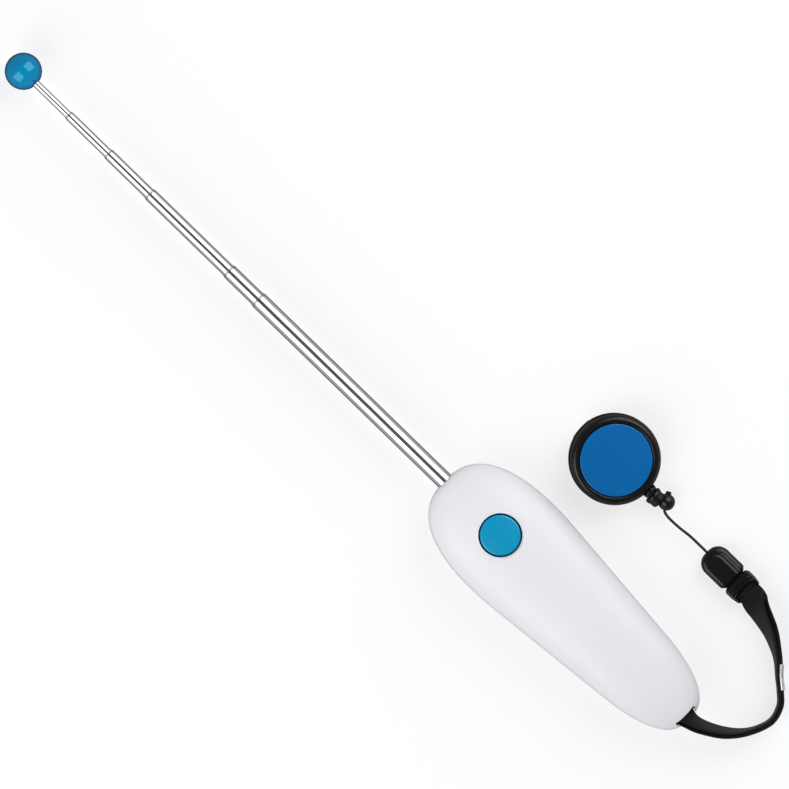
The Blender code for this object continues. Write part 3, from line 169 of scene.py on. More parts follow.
class Surface(NodeTree):
    # a material, and its principled shader
    def __init__(self, name, colour, roughness, metallic=0.0, plain=None):
        self.material = bpy.data.materials.new(name)
        self.material.use_nodes = True
        super().__init__(self.material.node_tree)
        self.shader = self.tree.nodes["Principled BSDF"]
        self.set({"Base Color": (*colour, 1), "Roughness": roughness, "Metallic": metallic, **(plain or {})})

    def set(self, sockets):
        for name, value in sockets.items():
            self.feed(self.shader.inputs[name], value)

    def noise(self, scale, detail, stretch=(1, 1, 1)):
        place = self.node("ShaderNodeTexCoord", output="Object")
        moved = self.node("ShaderNodeMapping", None, {"Vector": place, "Scale": stretch})
        return self.node("ShaderNodeTexNoise", None, {
            "Vector": moved, "Scale": scale, "Detail": detail, "Roughness": noise.roughness})

    def alongFibres(self):
        uv = self.node("ShaderNodeUVMap", {"uv_map": "weave"})
        return [self.node("ShaderNodeSeparateXYZ", None, {0: uv}, axis) for axis in (0, 1)]

    def spread(self, value, low, high):
        return self.ranged(value, noise.low, noise.high, low, high)

    def blend(self, share, first, second):
        return self.node("ShaderNodeMix", {"data_type": "RGBA"}, {0: share, 6: first, 7: second}, 2)

    def bump(self, height, strength, distance):
        return self.node("ShaderNodeBump", None, {
            "Height": height, "Strength": strength, "Distance": distance})


def shade(colour, amount):
    return (*[part * amount for part in colour], 1)


def mouldedPlastic(name, colour, roughness, grain, vary, plain):
    # a fine spark-eroded grain, and flow that hardly shows
    made = Surface(name, colour, roughness, plain=plain)
    flow = made.spread(made.noise(plastic.flow, 2.0), 0, 1)
    fine = made.noise(plastic.grain, 2.0)
    made.set({
        "Base Color": made.blend(flow, shade(colour, 1 - vary), shade(colour, 1 + vary)),
        "Roughness": made.spread(fine, roughness - plastic.glossier, roughness + plastic.duller),
        "Normal": made.bump(fine, grain, plastic.depth)})
    return made.material


def platedMetal(name, colour, roughness, stretch, scratch, plain=None):
    # polished plate with hairlines along the draw
    made = Surface(name, colour, roughness, 1.0, plain)
    lines = made.noise(plate.hairlines, 3.0, stretch)
    cloud = made.spread(made.noise(plate.cloud, 2.0), 0, 1)
    made.set({
        "Base Color": made.blend(cloud, shade(colour, plate.dark), shade(colour, plate.light)),
        "Roughness": made.spread(lines, roughness * plate.glossier, roughness * plate.duller),
        "Normal": made.bump(lines, scratch, plate.depth)})
    return made.material


def wovenWebbing(name, colour, cell):
    # UV runs in metres, across the webbing and along it
    w = weave
    made = Surface(name, colour, w.roughness, plain={
        "Sheen Weight": w.sheen, "Sheen Roughness": 0.5, "Specular IOR Level": 0.2})
    across, along = made.alongFibres()
    warp = (across * (2 * pi / cell)).sine()
    weft = (along * (2 * pi / cell * w.weftShare)).sine()
    thread = (across * (2 * pi / cell * w.threads)).sine() * 0.5 + 0.5
    lump = warp * weft * 0.5 + 0.5
    fuzz = made.noise(w.fuzz, 3.0)
    height = lump * w.lumpShare + thread * w.threadShare + fuzz * w.fuzzShare
    # the raised crossings of the weave are painted lighter and the hollows darker, painted highlight and
    # shade, over a random tone of the fibres
    made.set({
        "Base Color": made.blend(lump * fuzz, shade(colour, w.dark), shade(colour, w.light)),
        "Roughness": made.spread(fuzz, w.glossiest, w.dullest),
        "Normal": made.bump(height, w.strength, w.depth)})
    return made.material


def braidedCord(name, colour, strands, pitch):
    # UV runs once round the cord, and along it in metres
    b = braid
    made = Surface(name, colour, b.roughness)
    turn, along = made.alongFibres()
    turn, along = turn * (2 * pi * strands), along * (2 * pi / pitch)
    lump = (turn + along).sine() * (turn - along).sine() * 0.5 + 0.5
    fuzz = made.noise(b.fuzz, 2.0)
    # the crowns of the strands are painted lighter and the gaps between them darker, painted highlight and
    # shade, over a random tone of the fibres
    made.set({
        "Base Color": made.blend(lump * fuzz, shade(colour, b.dark), shade(colour, b.light)),
        "Normal": made.bump(lump * b.lumpShare + fuzz * b.fuzzShare, b.strength, b.depth)})
    return made.material


def rimShadeCoat(*tint):
    # a coat with no reflection of its own, which takes more light where it is looked through at a slant:
    # painted shade along the rims and outlines
    return {"Coat Weight": 1.0, "Coat IOR": 1.0, "Coat Tint": (*tint, 1)}


# the blue parts' coat, which paints shade along their rims
blueRimShadeCoat = rimShadeCoat(0.65, 0.77, 0.82)
# each coat below darkens its finish a little, and more along the outline: painted shade
finishes = {
    "housing": mouldedPlastic(
        "housingPlastic", (0.82, 0.82, 0.855), 0.38, 0.012, 0.008, rimShadeCoat(0.93, 0.93, 0.935)),
    "black_plastic": mouldedPlastic(
        "blackPlastic", (0.004, 0.004, 0.0045), 0.26, 0.02, 0.2,
        {"Specular IOR Level": 0.6, **rimShadeCoat(0.6, 0.6, 0.6)}),
    "blue_button": mouldedPlastic("buttonPlastic", (0.003, 0.37, 0.63), 0.24, 0.008, 0.03, blueRimShadeCoat),
    "blue_ball": mouldedPlastic(
        "ballPlastic", (0.002, 0.41, 0.71), 0.1, 0.004, 0.04, {
            "Specular IOR Level": 1.0, "IOR": 1.62, "Specular Tint": (0.4, 0.9, 1, 1),
            **rimShadeCoat(0.45, 0.58, 0.65)}),
    "blue_face": mouldedPlastic("facePlastic", (0.0, 0.15, 0.44), 0.22, 0.008, 0.04, blueRimShadeCoat),
    # the dark specular tint and the coat darken the tubes' edges: painted shade where they turn away
    "chrome": platedMetal(
        "chromePlate", (0.92, 0.925, 0.935), 0.08, (0.02, 1, 1), 0.02,
        {"Specular Tint": (0.1, 0.1, 0.1, 1), **rimShadeCoat(0.58, 0.58, 0.59)}),
    "spring_steel": platedMetal("springSteel", (0.5, 0.51, 0.53), 0.25, (0.05, 1, 1), 0.08),
    "brass": platedMetal("ringBrass", (0.78, 0.57, 0.2), 0.28, (1, 1, 1), 0.06),
    "webbing": wovenWebbing("webbingWeave", (0.0045, 0.0045, 0.005), 0.8 * mm),
    "cord": braidedCord("cordBraid", (0.006, 0.006, 0.0065), 4, 1.6 * mm),
}
crimpPlate = platedMetal("crimpPlate", (0.6, 0.605, 0.615), 0.38, (1, 1, 0.05), 0.01)
for part in frame["record"]["subparts"]:
    mesh = nodes[part["node"]].data
    mesh.materials.clear()
    mesh.materials.append(finishes[part["material_slot"]])
print("materials made")


# shared shapes

# sides of a full turn
facets = Sizes(thin=24, rod=32, post=48, tube=64, button=96, disc=128)


def smoothed(mesh, angle=sharpAngle):
    mesh.shade_smooth()
    mesh.set_sharp_from_angle(angle=radians(angle))
    return mesh


def finishMesh(build, name, angle=sharpAngle):
    mesh = bpy.data.meshes.new(name)
    bmesh.ops.recalc_face_normals(build, faces=build.faces)
    build.to_mesh(mesh)
    build.free()
    return smoothed(mesh, angle)


def settled(obj):
    # the mesh that the object's modifiers make, as a plain one
    made = bpy.data.meshes.new_from_object(obj.evaluated_get(bpy.context.evaluated_depsgraph_get()))
    bpy.data.objects.remove(obj, do_unlink=True)
    return smoothed(made)


def addPiece(name, mesh, finish, body, *stands):
    obj = newObject(name, mesh)
    mesh.materials.clear()
    mesh.materials.append(finishes[finish])
    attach(obj, body)
    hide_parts(*stands)
    return obj


def turnsOf(count):
    return [2 * pi * index / count for index in range(count)]


def inPairs(rows, loop):
    return list(zip(rows, rows[1:])) + ([(rows[-1], rows[0])] if loop else [])


def direction(points, index):
    return (points[min(index + 1, len(points) - 1)] - points[max(index - 1, 0)]).normalized()


def fillet(profile, steps=4):
    # rounds each corner whose third number is more than 0
    smooth = []
    for index, point in enumerate(profile):
        reach = point[2] if len(point) > 2 else 0
        here = Vector(point[:2])
        if reach == 0:
            smooth.append(tuple(here))
            continue
        before = Vector(profile[index - 1][:2])
        after = Vector(profile[(index + 1) % len(profile)][:2])
        first = here + (before - here).normalized() * reach
        last = here + (after - here).normalized() * reach
        for step in range(steps + 1):
            t = step / steps
            smooth.append(tuple(first * (1 - t) ** 2 + here * 2 * t * (1 - t) + last * t ** 2))
    return smooth


def turned(name, profile, place=Matrix(), steps=facets.button, loop=False):
    build = bmesh.new()
    rows = []
    for radius, height in profile:
        turns = [0.0] if radius == 0 else turnsOf(steps)
        spots = [Vector((radius * cos(t), radius * sin(t), height)) for t in turns]
        rows.append([build.verts.new(place @ spot) for spot in spots])
    for first, second in inPairs(rows, loop):
        for index in range(steps):
            after = (index + 1) % steps
            corners = list(dict.fromkeys([
                first[index % len(first)], first[after % len(first)],
                second[after % len(second)], second[index % len(second)]]))
            if len(corners) > 2:
                build.faces.new(corners)
    return finishMesh(build, name)


def loft(name, rings, loop=False, lengths=None, angle=sharpAngle):
    # lengths along the rings give a UV map in metres
    build = bmesh.new()
    layer = build.loops.layers.uv.new("weave") if lengths else None
    rows = [[build.verts.new(point) for point in ring] for ring in rings]
    count = len(rows[0])
    for low, high in inPairs(range(len(rows)), loop):
        for index in range(count):
            after = (index + 1) % count
            face = build.faces.new((rows[low][index], rows[low][after], rows[high][after], rows[high][index]))
            if layer:
                here, there = lengths["across"][index:index + 2]
                places = [(here, low), (there, low), (there, high), (here, high)]
                for corner, (across, row) in zip(face.loops, places):
                    corner[layer].uv = (across, lengths["along"][row])
    if not loop:
        build.faces.new(list(reversed(rows[0])))
        build.faces.new(rows[-1])
    return finishMesh(build, name, angle)


def shaped(mesh, cuts=(), joins=(), bevel=0.0, segments=3):
    # an edge bevel and booleans, worked out and kept as a plain mesh
    carrier = newObject("carrier", mesh)
    if bevel:
        edges = carrier.modifiers.new("edges", "BEVEL")
        edges.width, edges.segments = bevel, segments
        edges.limit_method, edges.angle_limit = "ANGLE", radians(40)
    helpers = []
    for operation, meshes in (("UNION", joins), ("DIFFERENCE", cuts)):
        for other in meshes:
            helpers.append(newObject("helper", other))
            cut = carrier.modifiers.new("cut", "BOOLEAN")
            cut.operation, cut.object, cut.solver = operation, helpers[-1], "EXACT"
    made = settled(carrier)
    for helper in helpers:
        bpy.data.objects.remove(helper, do_unlink=True)
    return made


def boxMesh(low, high, place=Matrix()):
    build = bmesh.new()
    size = [b - a for a, b in zip(low, high)]
    centre = [(a + b) / 2 for a, b in zip(low, high)]
    matrix = place @ Matrix.Translation(centre) @ Matrix.Diagonal((*size, 1))
    bmesh.ops.create_cube(build, size=1, matrix=matrix)
    return finishMesh(build, "box")


def ballMesh(name, radius, place, around, along):
    build = bmesh.new()
    bmesh.ops.create_uvsphere(build, u_segments=around, v_segments=along, radius=radius, matrix=place)
    return finishMesh(build, name)


def rodMesh(radius, low, high, place=Matrix(), steps=facets.post):
    return turned("rod", [(0, low), (radius, low), (radius, high), (0, high)], place, steps)


def turnAbout(axis, degrees):
    return Matrix.Rotation(radians(degrees), 4, axis)


def alongX(x, y=0.0, z=axisHeight):
    return Matrix.Translation((x, y, z)) @ turnAbout("Y", 90)


def smoothRoute(points, perSpan):
    dense = []
    ends = [points[0] * 2 - points[1]] + points + [points[-1] * 2 - points[-2]]
    for index in range(1, len(ends) - 2):
        before, start, end, after = ends[index - 1:index + 3]
        for step in range(perSpan):
            t = step / perSpan
            dense.append(0.5 * (
                start * 2 + (end - before) * t
                + (before * 2 - start * 5 + end * 4 - after) * t ** 2
                + (start * 3 - before - end * 3 + after) * t ** 3))
    dense.append(points[-1])
    return dense


def runLengths(points):
    total = [0.0]
    for first, second in zip(points, points[1:]):
        total.append(total[-1] + (second - first).length)
    return total


def tubeRings(points, radius, sides):
    rings = []
    normal = None
    for index, centre in enumerate(points):
        run = direction(points, index)
        normal = run.cross(up) if normal is None else normal - run * normal.dot(run)
        normal.normalize()
        other = run.cross(normal)
        rings.append([centre + (normal * cos(t) + other * sin(t)) * radius for t in turnsOf(sides)])
    return rings


def tubeMesh(name, points, perSpan, radius, sides, angle=sharpAngle):
    return loft(name, tubeRings(smoothRoute(points, perSpan), radius, sides), angle=angle)


# webbing loop

webbing = Sizes(
    width=8.8 * mm, thickness=0.8 * mm, layerGap=0.4 * mm, seatGap=play,
    pin=(-52.6 * mm, 0, axisHeight), pinRadius=1.25 * mm,
    bar=(-43.4 * mm, -46 * mm, 3.2 * mm), barRadius=0.8 * mm, barTurn=10,
    crimpShare=0.57, crimpLength=9.5 * mm, crimpWall=0.3 * mm, crimpGap=0.12 * mm,
    crimpPinch=0.05 * mm, crimpFlare=0.05 * mm,
    # back, aside and up from the pin in mm, turn on edge in degrees, parting of the layers
    route=[
        (-5.9, 0.2, 0.0, 50, 1.6), (-11.1, -0.8, -0.6, 67, 1.3), (-18.8, -4.9, -2.6, 75, 1.1),
        (-25.1, -11.3, -4.6, 87, 1.0), (-28.3, -18.9, -5.4, 90, 1.0), (-26.9, -25.1, -5.5, 90, 1.05),
        (-23.2, -29.1, -5.5, 90, 1.1), (-19.4, -32.3, -5.5, 90, 1.15), (-15.85, -35.7, -5.5, 87, 1.2),
        (-12.05, -38.45, -5.5, 82, 1.35), (-6.2, -41.65, -5.8, 70, 1.7), (1.9, -44.3, -5.7, 50, 2.1),
    ],
)


def strapFrames(v, perSpan):
    pin, bar = Vector(v.pin), Vector(v.bar)
    pinWrap = v.pinRadius + v.seatGap + v.thickness / 2
    barWrap = v.barRadius + v.seatGap + v.thickness / 2
    offset = (v.thickness + v.layerGap) / 2
    stations = [(pin - Vector((v.seatGap, 0, 0)), 0, pinWrap)]
    for back, aside, rise, twist, parting in v.route:
        stations.append((pin + Vector((back, aside, rise)) * mm, twist, offset * parting))
    stations.append((bar - Vector((2 * barWrap, 0, 0)), v.barTurn, barWrap))
    stations.append((bar - Vector((v.seatGap, 0, 0)), 0, barWrap))
    places = smoothRoute([s[0] for s in stations], perSpan)
    extras = smoothRoute([Vector((radians(s[1]), s[2], 0)) for s in stations], perSpan)
    frames = []
    for index, centre in enumerate(places):
        run = direction(places, index)
        if index in (0, len(places) - 1):
            run = Vector((run.x, 0, 0)).normalized()
        side = run.cross(up).normalized()
        twist, parted = extras[index].x, extras[index].y
        width = side * cos(twist) + side.cross(run) * sin(twist)
        frames.append((centre, width, run.cross(width).normalized(), parted))
    return frames, pinWrap, barWrap


def ribbonSection(v, centre, width, across, grow=0.0):
    # flat faces, and selvedges that are rounded
    edge = v.thickness / 2 + grow
    flat = v.width / 2 - v.thickness / 2
    half = [(flat + edge * cos(t), edge * sin(t)) for t in (pi / 2, pi / 4, 0, -pi / 4, -pi / 2)]
    half += [(flat * share, -edge) for share in (0.5, 0, -0.5)]
    return [centre + width * x + across * y for x, y in half + [(-x, -y) for x, y in half]]


def turnRings(centre, reach, width, facing, steps=16):
    # half a turn round a pin
    rings = []
    for step in range(steps + 1):
        angle = -pi / 2 + pi * step / steps
        radial = Vector((cos(angle), 0, sin(angle)))
        rings.append((centre + radial * reach, width, radial * facing))
    return rings


def webbingMesh(v, name, rows):
    rings = [ribbonSection(v, *row) for row in rows]
    first = ribbonSection(v, Vector(), Vector((1, 0, 0)), Vector((0, 1, 0)))
    lengths = {"across": runLengths(first + first[:1]), "along": runLengths([row[0] for row in rows])}
    return loft(name, rings, lengths=lengths, angle=softAngle)


def thin(points, most=36):
    step = max(1, round(len(points) / most))
    kept = points[::step]
    return kept if kept[-1] == points[-1] else kept + [points[-1]]


def addCrimp(v):
    # a sleeve pinched round the outer run
    frames = strapFrames(v, 12)[0]
    middle = frames[round(v.crimpShare * (len(frames) - 1))][0]
    near = [row for row in frames if (row[0] - middle).length < v.crimpLength / 2]
    outside, inside = [], []
    for index, (centre, width, across, offset) in enumerate(near):
        share = index / (len(near) - 1) * 2 - 1
        flare = v.crimpFlare if 0 < index < len(near) - 1 else 0.0
        grow = v.crimpGap + v.crimpWall - v.crimpPinch * (1 - share ** 2) + flare
        outside.append(ribbonSection(v, centre + across * offset, width, across, grow))
        inside.append(ribbonSection(v, centre + across * offset, width, across, v.crimpGap))
    mesh = loft("strapCrimp", outside + inside[::-1], loop=True, angle=50)
    made = addPiece("strapCrimp", mesh, "chrome", "handle", "strap_crimp")
    made.data.materials[0] = crimpPlate
    return made


def addWebbing(v):
    frames, pinWrap, barWrap = strapFrames(v, 8)
    inner = turnRings(Vector(v.pin), pinWrap, frames[0][1], -1)
    inner += [(centre - across * offset, width, across) for centre, width, across, offset in frames]
    outer = [(centre + across * offset, width, across) for centre, width, across, offset in frames]
    outer += turnRings(Vector(v.bar), barWrap, frames[-1][1], 1)
    made = []
    for name, rows, node in (("webbingInner", inner, "strap_inner"), ("webbingOuter", outer, "strap_outer")):
        piece = addPiece(name, webbingMesh(v, name, rows), "webbing", "handle", node)
        made.append((piece, [row[0] for row in rows]))
    return made


webbingPieces = addWebbing(webbing)
crimpPiece = addCrimp(webbing)
print("webbing made")


# pull cord, which runs from the reel to the buckle

reel = Sizes(
    x=22.2 * mm, y=-46.8 * mm, z=7.485 * mm, heading=2.0, tilt=8.0,
    radius=16 * mm, thickness=9 * mm, wall=1.2 * mm, rim=1.4 * mm, gap=play,
    beadReach=23.9 * mm, beadSide=-1.1 * mm, beadRadius=3 * mm,
    nubRadius=1 * mm, nubHeight=0.8 * mm, nubRounding=0.4 * mm, nubTurn=30,
    cordRadius=0.5 * mm, cordSides=14,
    cordHole=(-23.8, -46, 3.2),               # in mm, where the cord enters the buckle
    fromBead=[
        (0.8, 0.3, 0.0), (-0.7, 1.5, -0.1), (-2.0, 2.9, -0.4), (-4.6, 3.4, -0.7), (-9.4, 3.3, -1.0),
        (-14.2, 2.8, -1.0)],
    fromHole=[(3.0, 0.0, 0.0), (-1.6, 0.0, 0.0), (-3.4, 0.0, 0.0)],
)
reelPlace = (
    Matrix.Translation((reel.x, reel.y, reel.z)) @ turnAbout("Z", reel.heading) @ turnAbout("Y", -reel.tilt))
reelFlat = reelPlace @ turnAbout("Y", 90)     # its axis points at the bead
beadPlace = reelPlace @ Matrix.Translation((-reel.beadReach, reel.beadSide, 0))


def cordRoute(v):
    start = v.wall * 1.5 - v.radius
    mouth = v.beadRadius + v.gap - v.beadReach
    route = [reelPlace @ Vector((x, 0, 0)) for x in (start, (start + mouth) / 2, mouth)]
    route += [beadPlace.translation + Vector(step) * mm for step in v.fromBead]
    return route + [(Vector(v.cordHole) + Vector(step)) * mm for step in v.fromHole]


def addPullCord(v):
    route = smoothRoute(cordRoute(v), 8)
    lengths = {"across": [side / v.cordSides for side in range(v.cordSides + 1)], "along": runLengths(route)}
    mesh = loft("pullCord", tubeRings(route, v.cordRadius, v.cordSides), lengths=lengths, angle=70)
    return addPiece("pullCord", mesh, "cord", "reel", "reel_cord"), route


cordPiece, cordLine = addPullCord(reel)
print("cord made")


# handle housing

handle = Sizes(
    length=119 * mm, halfWidth=21.3 * mm, taper=0.0942, taperStart=30 * mm, crest=19 * mm,
    frontRounding=45 * mm, frontBow=2.2, frontFullness=2.5,
    tailRounding=26 * mm, tailBow=2.3, tailFullness=2.9,
    upperHeight=13 * mm, upperFullness=2.6, lowerHeight=12 * mm, lowerFullness=3.2,
    axis=axisHeight, wall=2 * mm, gap=play, around=144,
    topLevels=26, topCrowding=1.9, ceilingLevel=4, bottomLevels=22, innerStart=0.25,
    boreRadius=3.4 * mm, boreStart=52 * mm, boreLength=12 * mm,
    # back, low side, high side and half height in mm; it narrows to the tail, where the webbing is on edge
    slot=[
        (-53.85, -5.4, 5.4, 4.9), (-56, -5.0, 5.1, 4.9), (-57.5, -4.5, 4.8, 4.9), (-58.6, -3.7, 4.3, 4.9),
        (-59.5, -3.3, 3.8, 4.9), (-62, -3.1, 3.7, 4.9)],
    slotCorner=1.2 * mm,
    buttonX=32.7 * mm, holeRadius=7.65 * mm, chamfer=0.7 * mm, seatWall=1.4 * mm, seatSpread=1.4,
    seatLow=20.9 * mm,
    tongueWidth=0.8 * mm, tongueHeight=1.1 * mm,
    screws=[(43.5, 11.48), (43.5, -11.48), (-30, 8.5), (-30, -8.5)], screwSeat=4.8 * mm,
    bossRadius=3.5 * mm, bossLow=0.6 * mm, bossHigh=10.5 * mm, recessRadius=2.5 * mm, recessChamfer=0.4 * mm,
    holeTop=12 * mm, screwHole=1.4 * mm,
)


def endRounding(distance, reach, bow, fullness):
    if distance >= reach:
        return 1.0
    return max(0.0, 1 - (1 - distance / reach) ** bow) ** (1 / fullness)


def halfWidth(x, v=handle):
    behind = v.length / 2 - x
    side = v.halfWidth - v.taper * (behind - v.taperStart)
    front = endRounding(behind, v.frontRounding, v.frontBow, v.frontFullness)
    return side * front * endRounding(v.length - behind, v.tailRounding, v.tailBow, v.tailFullness)


def outlineShare(x, y, v=handle):
    # 0 at the crest and 1 on the outline
    low, high = 1e-4, 1.2
    for step in range(32):
        share = (low + high) / 2
        outX = v.crest + (x - v.crest) / share
        inside = abs(outX) < v.length / 2 and abs(y) / share < halfWidth(outX)
        low, high = (low, share) if inside else (share, high)
    return high


def handleOutline(v):
    points = []
    for turn in turnsOf(v.around):
        x = v.length / 2 * cos(turn)
        points.append(Vector((x, halfWidth(x) if turn <= pi else -halfWidth(x), 0)))
    return points


def insetOutline(points, inset):
    moved = []
    for index, point in enumerate(points):
        run = points[(index + 1) % len(points)] - points[index - 1]
        moved.append(point - Vector((run.y, -run.x, 0)).normalized() * inset)
    return moved


def levelRing(points, height):
    return [Vector((p.x, p.y, height)) for p in points]


def surfaceNormals(rows):
    # corner normals of an open sheet of rings, pointing up
    count = len(rows[0])
    normals = []
    for level, row in enumerate(rows):
        above = rows[min(level + 1, len(rows) - 1)]
        below = rows[max(level - 1, 0)]
        line = []
        for index in range(count):
            around = row[(index + 1) % count] - row[index - 1]
            normal = around.cross(above[index] - below[index]).normalized()
            line.append(normal if normal.z >= 0 else -normal)
        normals.append(line)
    return normals


def addHandleTop(v):
    outline = handleOutline(v)
    centre = Vector((v.buttonX, 0, 0))
    lift = v.axis + v.gap / 2
    rays = [(point - centre).normalized() for point in outline]
    rows = []
    for level in range(v.topLevels + 1):
        share = 1 - (1 - level / v.topLevels) ** v.topCrowding
        row = []
        for ray, point in zip(rays, outline):
            spot = (centre + ray * (v.holeRadius + v.chamfer)).lerp(point, share)
            rise = 0.0
            if level < v.topLevels:
                out = min(1.0, outlineShare(spot.x, spot.y))
                rise = v.upperHeight * max(0.0, 1 - out ** v.upperFullness) ** (1 / v.upperFullness)
            row.append(Vector((spot.x, spot.y, lift + rise)))
        rows.append(row)
    inner = []
    for row, line in list(zip(rows, surfaceNormals(rows)))[v.ceilingLevel:-1]:
        inner.append([point - normal * v.wall for point, normal in zip(row, line)])
    inner.append(levelRing(insetOutline(outline, v.wall), lift))

    def ringAt(radius, z):
        return [centre + ray * radius + Vector((0, 0, z)) for ray in rays]

    chamferLow = max(p.z for p in rows[0]) - v.chamfer
    rings = [ringAt(v.holeRadius, chamferLow)] + rows + inner[::-1]
    rings.append(ringAt(v.holeRadius + v.seatWall * v.seatSpread, v.seatLow))
    rings.append(ringAt(v.holeRadius, v.seatLow))
    mesh = shaped(loft("handleTop", rings, loop=True, angle=32), cuts=handleCuts(v))
    return addPiece("handleTop", mesh, "housing", "handle", "upper_shell")


def handleCuts(v):
    bore = rodMesh(v.boreRadius, 0, v.boreLength, alongX(v.boreStart))
    corner = v.slotCorner
    rings = []
    for x, low, high, rise in v.slot:
        ring = []
        for t in turnsOf(facets.rod):
            side = high * mm - corner if cos(t) > 0 else low * mm + corner
            level = (rise * mm - corner) * (1 if sin(t) > 0 else -1)
            ring.append(Vector((x * mm, side + corner * cos(t), v.axis + level + corner * sin(t))))
        rings.append(ring)
    return [bore, loft("slot", rings)]


def addHandleBottom(v):
    outline = handleOutline(v)
    lift = v.axis - v.gap / 2
    fullness = v.lowerFullness

    def bowl(points, deep, floor, first):
        last = asin(min(1.0, (floor / deep)) ** (fullness / 2))
        rings = []
        for level in range(v.bottomLevels + 1):
            angle = first + (last - first) * level / v.bottomLevels
            scale = cos(angle) ** (2 / fullness)
            low = lift - deep * sin(angle) ** (2 / fullness)
            rings.append([Vector((v.crest + (p.x - v.crest) * scale, p.y * scale, low)) for p in points])
        return rings

    tongueOut = insetOutline(outline, v.wall + v.gap)
    tongueIn = insetOutline(outline, v.wall + v.gap + v.tongueWidth)
    rings = bowl(outline, v.lowerHeight, lift, 0.0)[::-1]
    rings.append(levelRing(tongueOut, lift))
    rings += [levelRing(points, lift + v.tongueHeight) for points in (tongueOut, tongueIn)]
    rings += bowl(tongueIn, v.lowerHeight - v.wall, lift - v.wall, v.innerStart)
    bosses = []
    holes = handleCuts(v)
    wide = v.recessRadius + v.recessChamfer
    for x, y in v.screws:
        spot = Matrix.Translation((x * mm, y * mm, 0))
        bosses.append(rodMesh(v.bossRadius, v.bossLow, v.bossHigh, spot))
        holes.append(turned("recess", [
            (0, -mm), (wide, -mm), (wide, 0.0), (v.recessRadius, v.recessChamfer),
            (v.recessRadius, v.screwSeat), (v.screwHole, v.screwSeat), (v.screwHole, v.holeTop),
            (0, v.holeTop)], spot, facets.post))
    mesh = shaped(loft("handleBottom", rings, angle=32), cuts=holes, joins=bosses)
    return addPiece("handleBottom", mesh, "housing", "handle", "lower_shell")


addHandleTop(handle)
addHandleBottom(handle)
print("handle made")


# button

button = Sizes(
    x=handle.buttonX, top=24.3 * mm, radius=7.1 * mm, dish=0.5 * mm, lip=6.2 * mm, edgeDrop=0.1 * mm,
    edgeRounding=0.75 * mm, lipRounding=0.15 * mm, cornerRounding=0.2 * mm, rootRounding=0.3 * mm,
    flangeRadius=8.05 * mm, flangeTop=20.6 * mm, flange=1 * mm,
    stemRadius=2.2 * mm, noseRadius=1.2 * mm, noseHeight=0.5 * mm, stemLow=18.39 * mm,
)


def domeLine(radius, rise, steps, power=1.0):
    # from the middle out to the edge at height 0
    shares = [step / steps for step in range(steps + 1)]
    return [(radius * share, rise * (1 - share ** 2) ** power) for share in shares]


def addButton(v):
    flangeLow = v.flangeTop - v.flange
    profile = [(reach, v.top + rise) for reach, rise in domeLine(v.lip, -v.dish, 12, 1.2)]
    profile += fillet([
        (v.lip, v.top, v.lipRounding), (v.radius, v.top - v.edgeDrop, v.edgeRounding),
        (v.radius, v.flangeTop, v.cornerRounding), (v.flangeRadius, v.flangeTop, v.cornerRounding),
        (v.flangeRadius, flangeLow, v.cornerRounding), (v.stemRadius, flangeLow, v.rootRounding),
        (v.stemRadius, v.stemLow + v.noseHeight), (v.noseRadius, v.stemLow, v.cornerRounding), (0, v.stemLow),
    ])[1:]
    mesh = turned("clickButton", profile, Matrix.Translation((v.x, 0, 0)))
    return addPiece("clickButton", mesh, "blue_button", "button", "click_button")


addButton(button)
print("button made")


# telescopic stick

stick = Sizes(
    radius=3.1 * mm, step=0.35 * mm, wall=0.2 * mm, fronts=[150.2, 164.4, 202.8, 222.9, 242.2, 257.5],
    firstLength=100 * mm, length=96 * mm, boreGap=0.08 * mm,
    # the rolled lip and the groove behind it: in from the radius, back from the mouth, and rounding, in mm
    mouthLine=[
        (0.24, 0, 0.04), (0, 0.4, 0.05), (0, 0.48, 0), (0.13, 0.6, 0), (0.13, 0.7, 0), (0, 0.82, 0),
        (0, 1.4, 0)],
    mouth=1 * mm, mouthThroat=0.4 * mm, mouthRounding=0.04 * mm,
    swage=1.4 * mm, swageFlat=0.91 * mm, swageRise=0.11 * mm, swageRounding=0.3 * mm, swageLead=3 * mm,
    rearRounding=0.05 * mm, rodRounding=0.1 * mm, rodFrontRounding=0.15 * mm,
    ballRadius=6.5 * mm, ballGap=0.3 * mm, socket=6 * mm, collar=0.6 * mm, collarChamfer=0.25 * mm,
)


def rearLine(v, radius, length, rounding):
    swage = radius + v.swageRise
    return [
        (radius, v.swageLead - length), (radius, v.swage - length, v.swageRounding),
        (swage, v.swageFlat - length, v.swageRounding), (swage, -length, rounding)]


def addSection(v, index):
    # rolled in at the mouth, swaged out at the rear
    radius = v.radius - v.step * index
    inner = radius - v.wall
    length = v.firstLength if index == 0 else v.length
    mouthRadius = radius - v.step + v.boreGap
    mouth = [(radius - into * mm, -back * mm, rounding * mm) for into, back, rounding in v.mouthLine]
    inside = [
        (inner, -length), (inner, -v.mouth), (mouthRadius, -v.mouthThroat), (mouthRadius, 0, v.mouthRounding)]
    profile = fillet(mouth + rearLine(v, radius, length, v.rearRounding) + inside, 3)
    name = f"stickTube{index + 1}"
    mesh = turned(name, profile, alongX(v.fronts[index] * mm), facets.tube, loop=True)
    return addPiece(name, mesh, "chrome", f"section_{index + 1}", f"tube_{index + 1}")


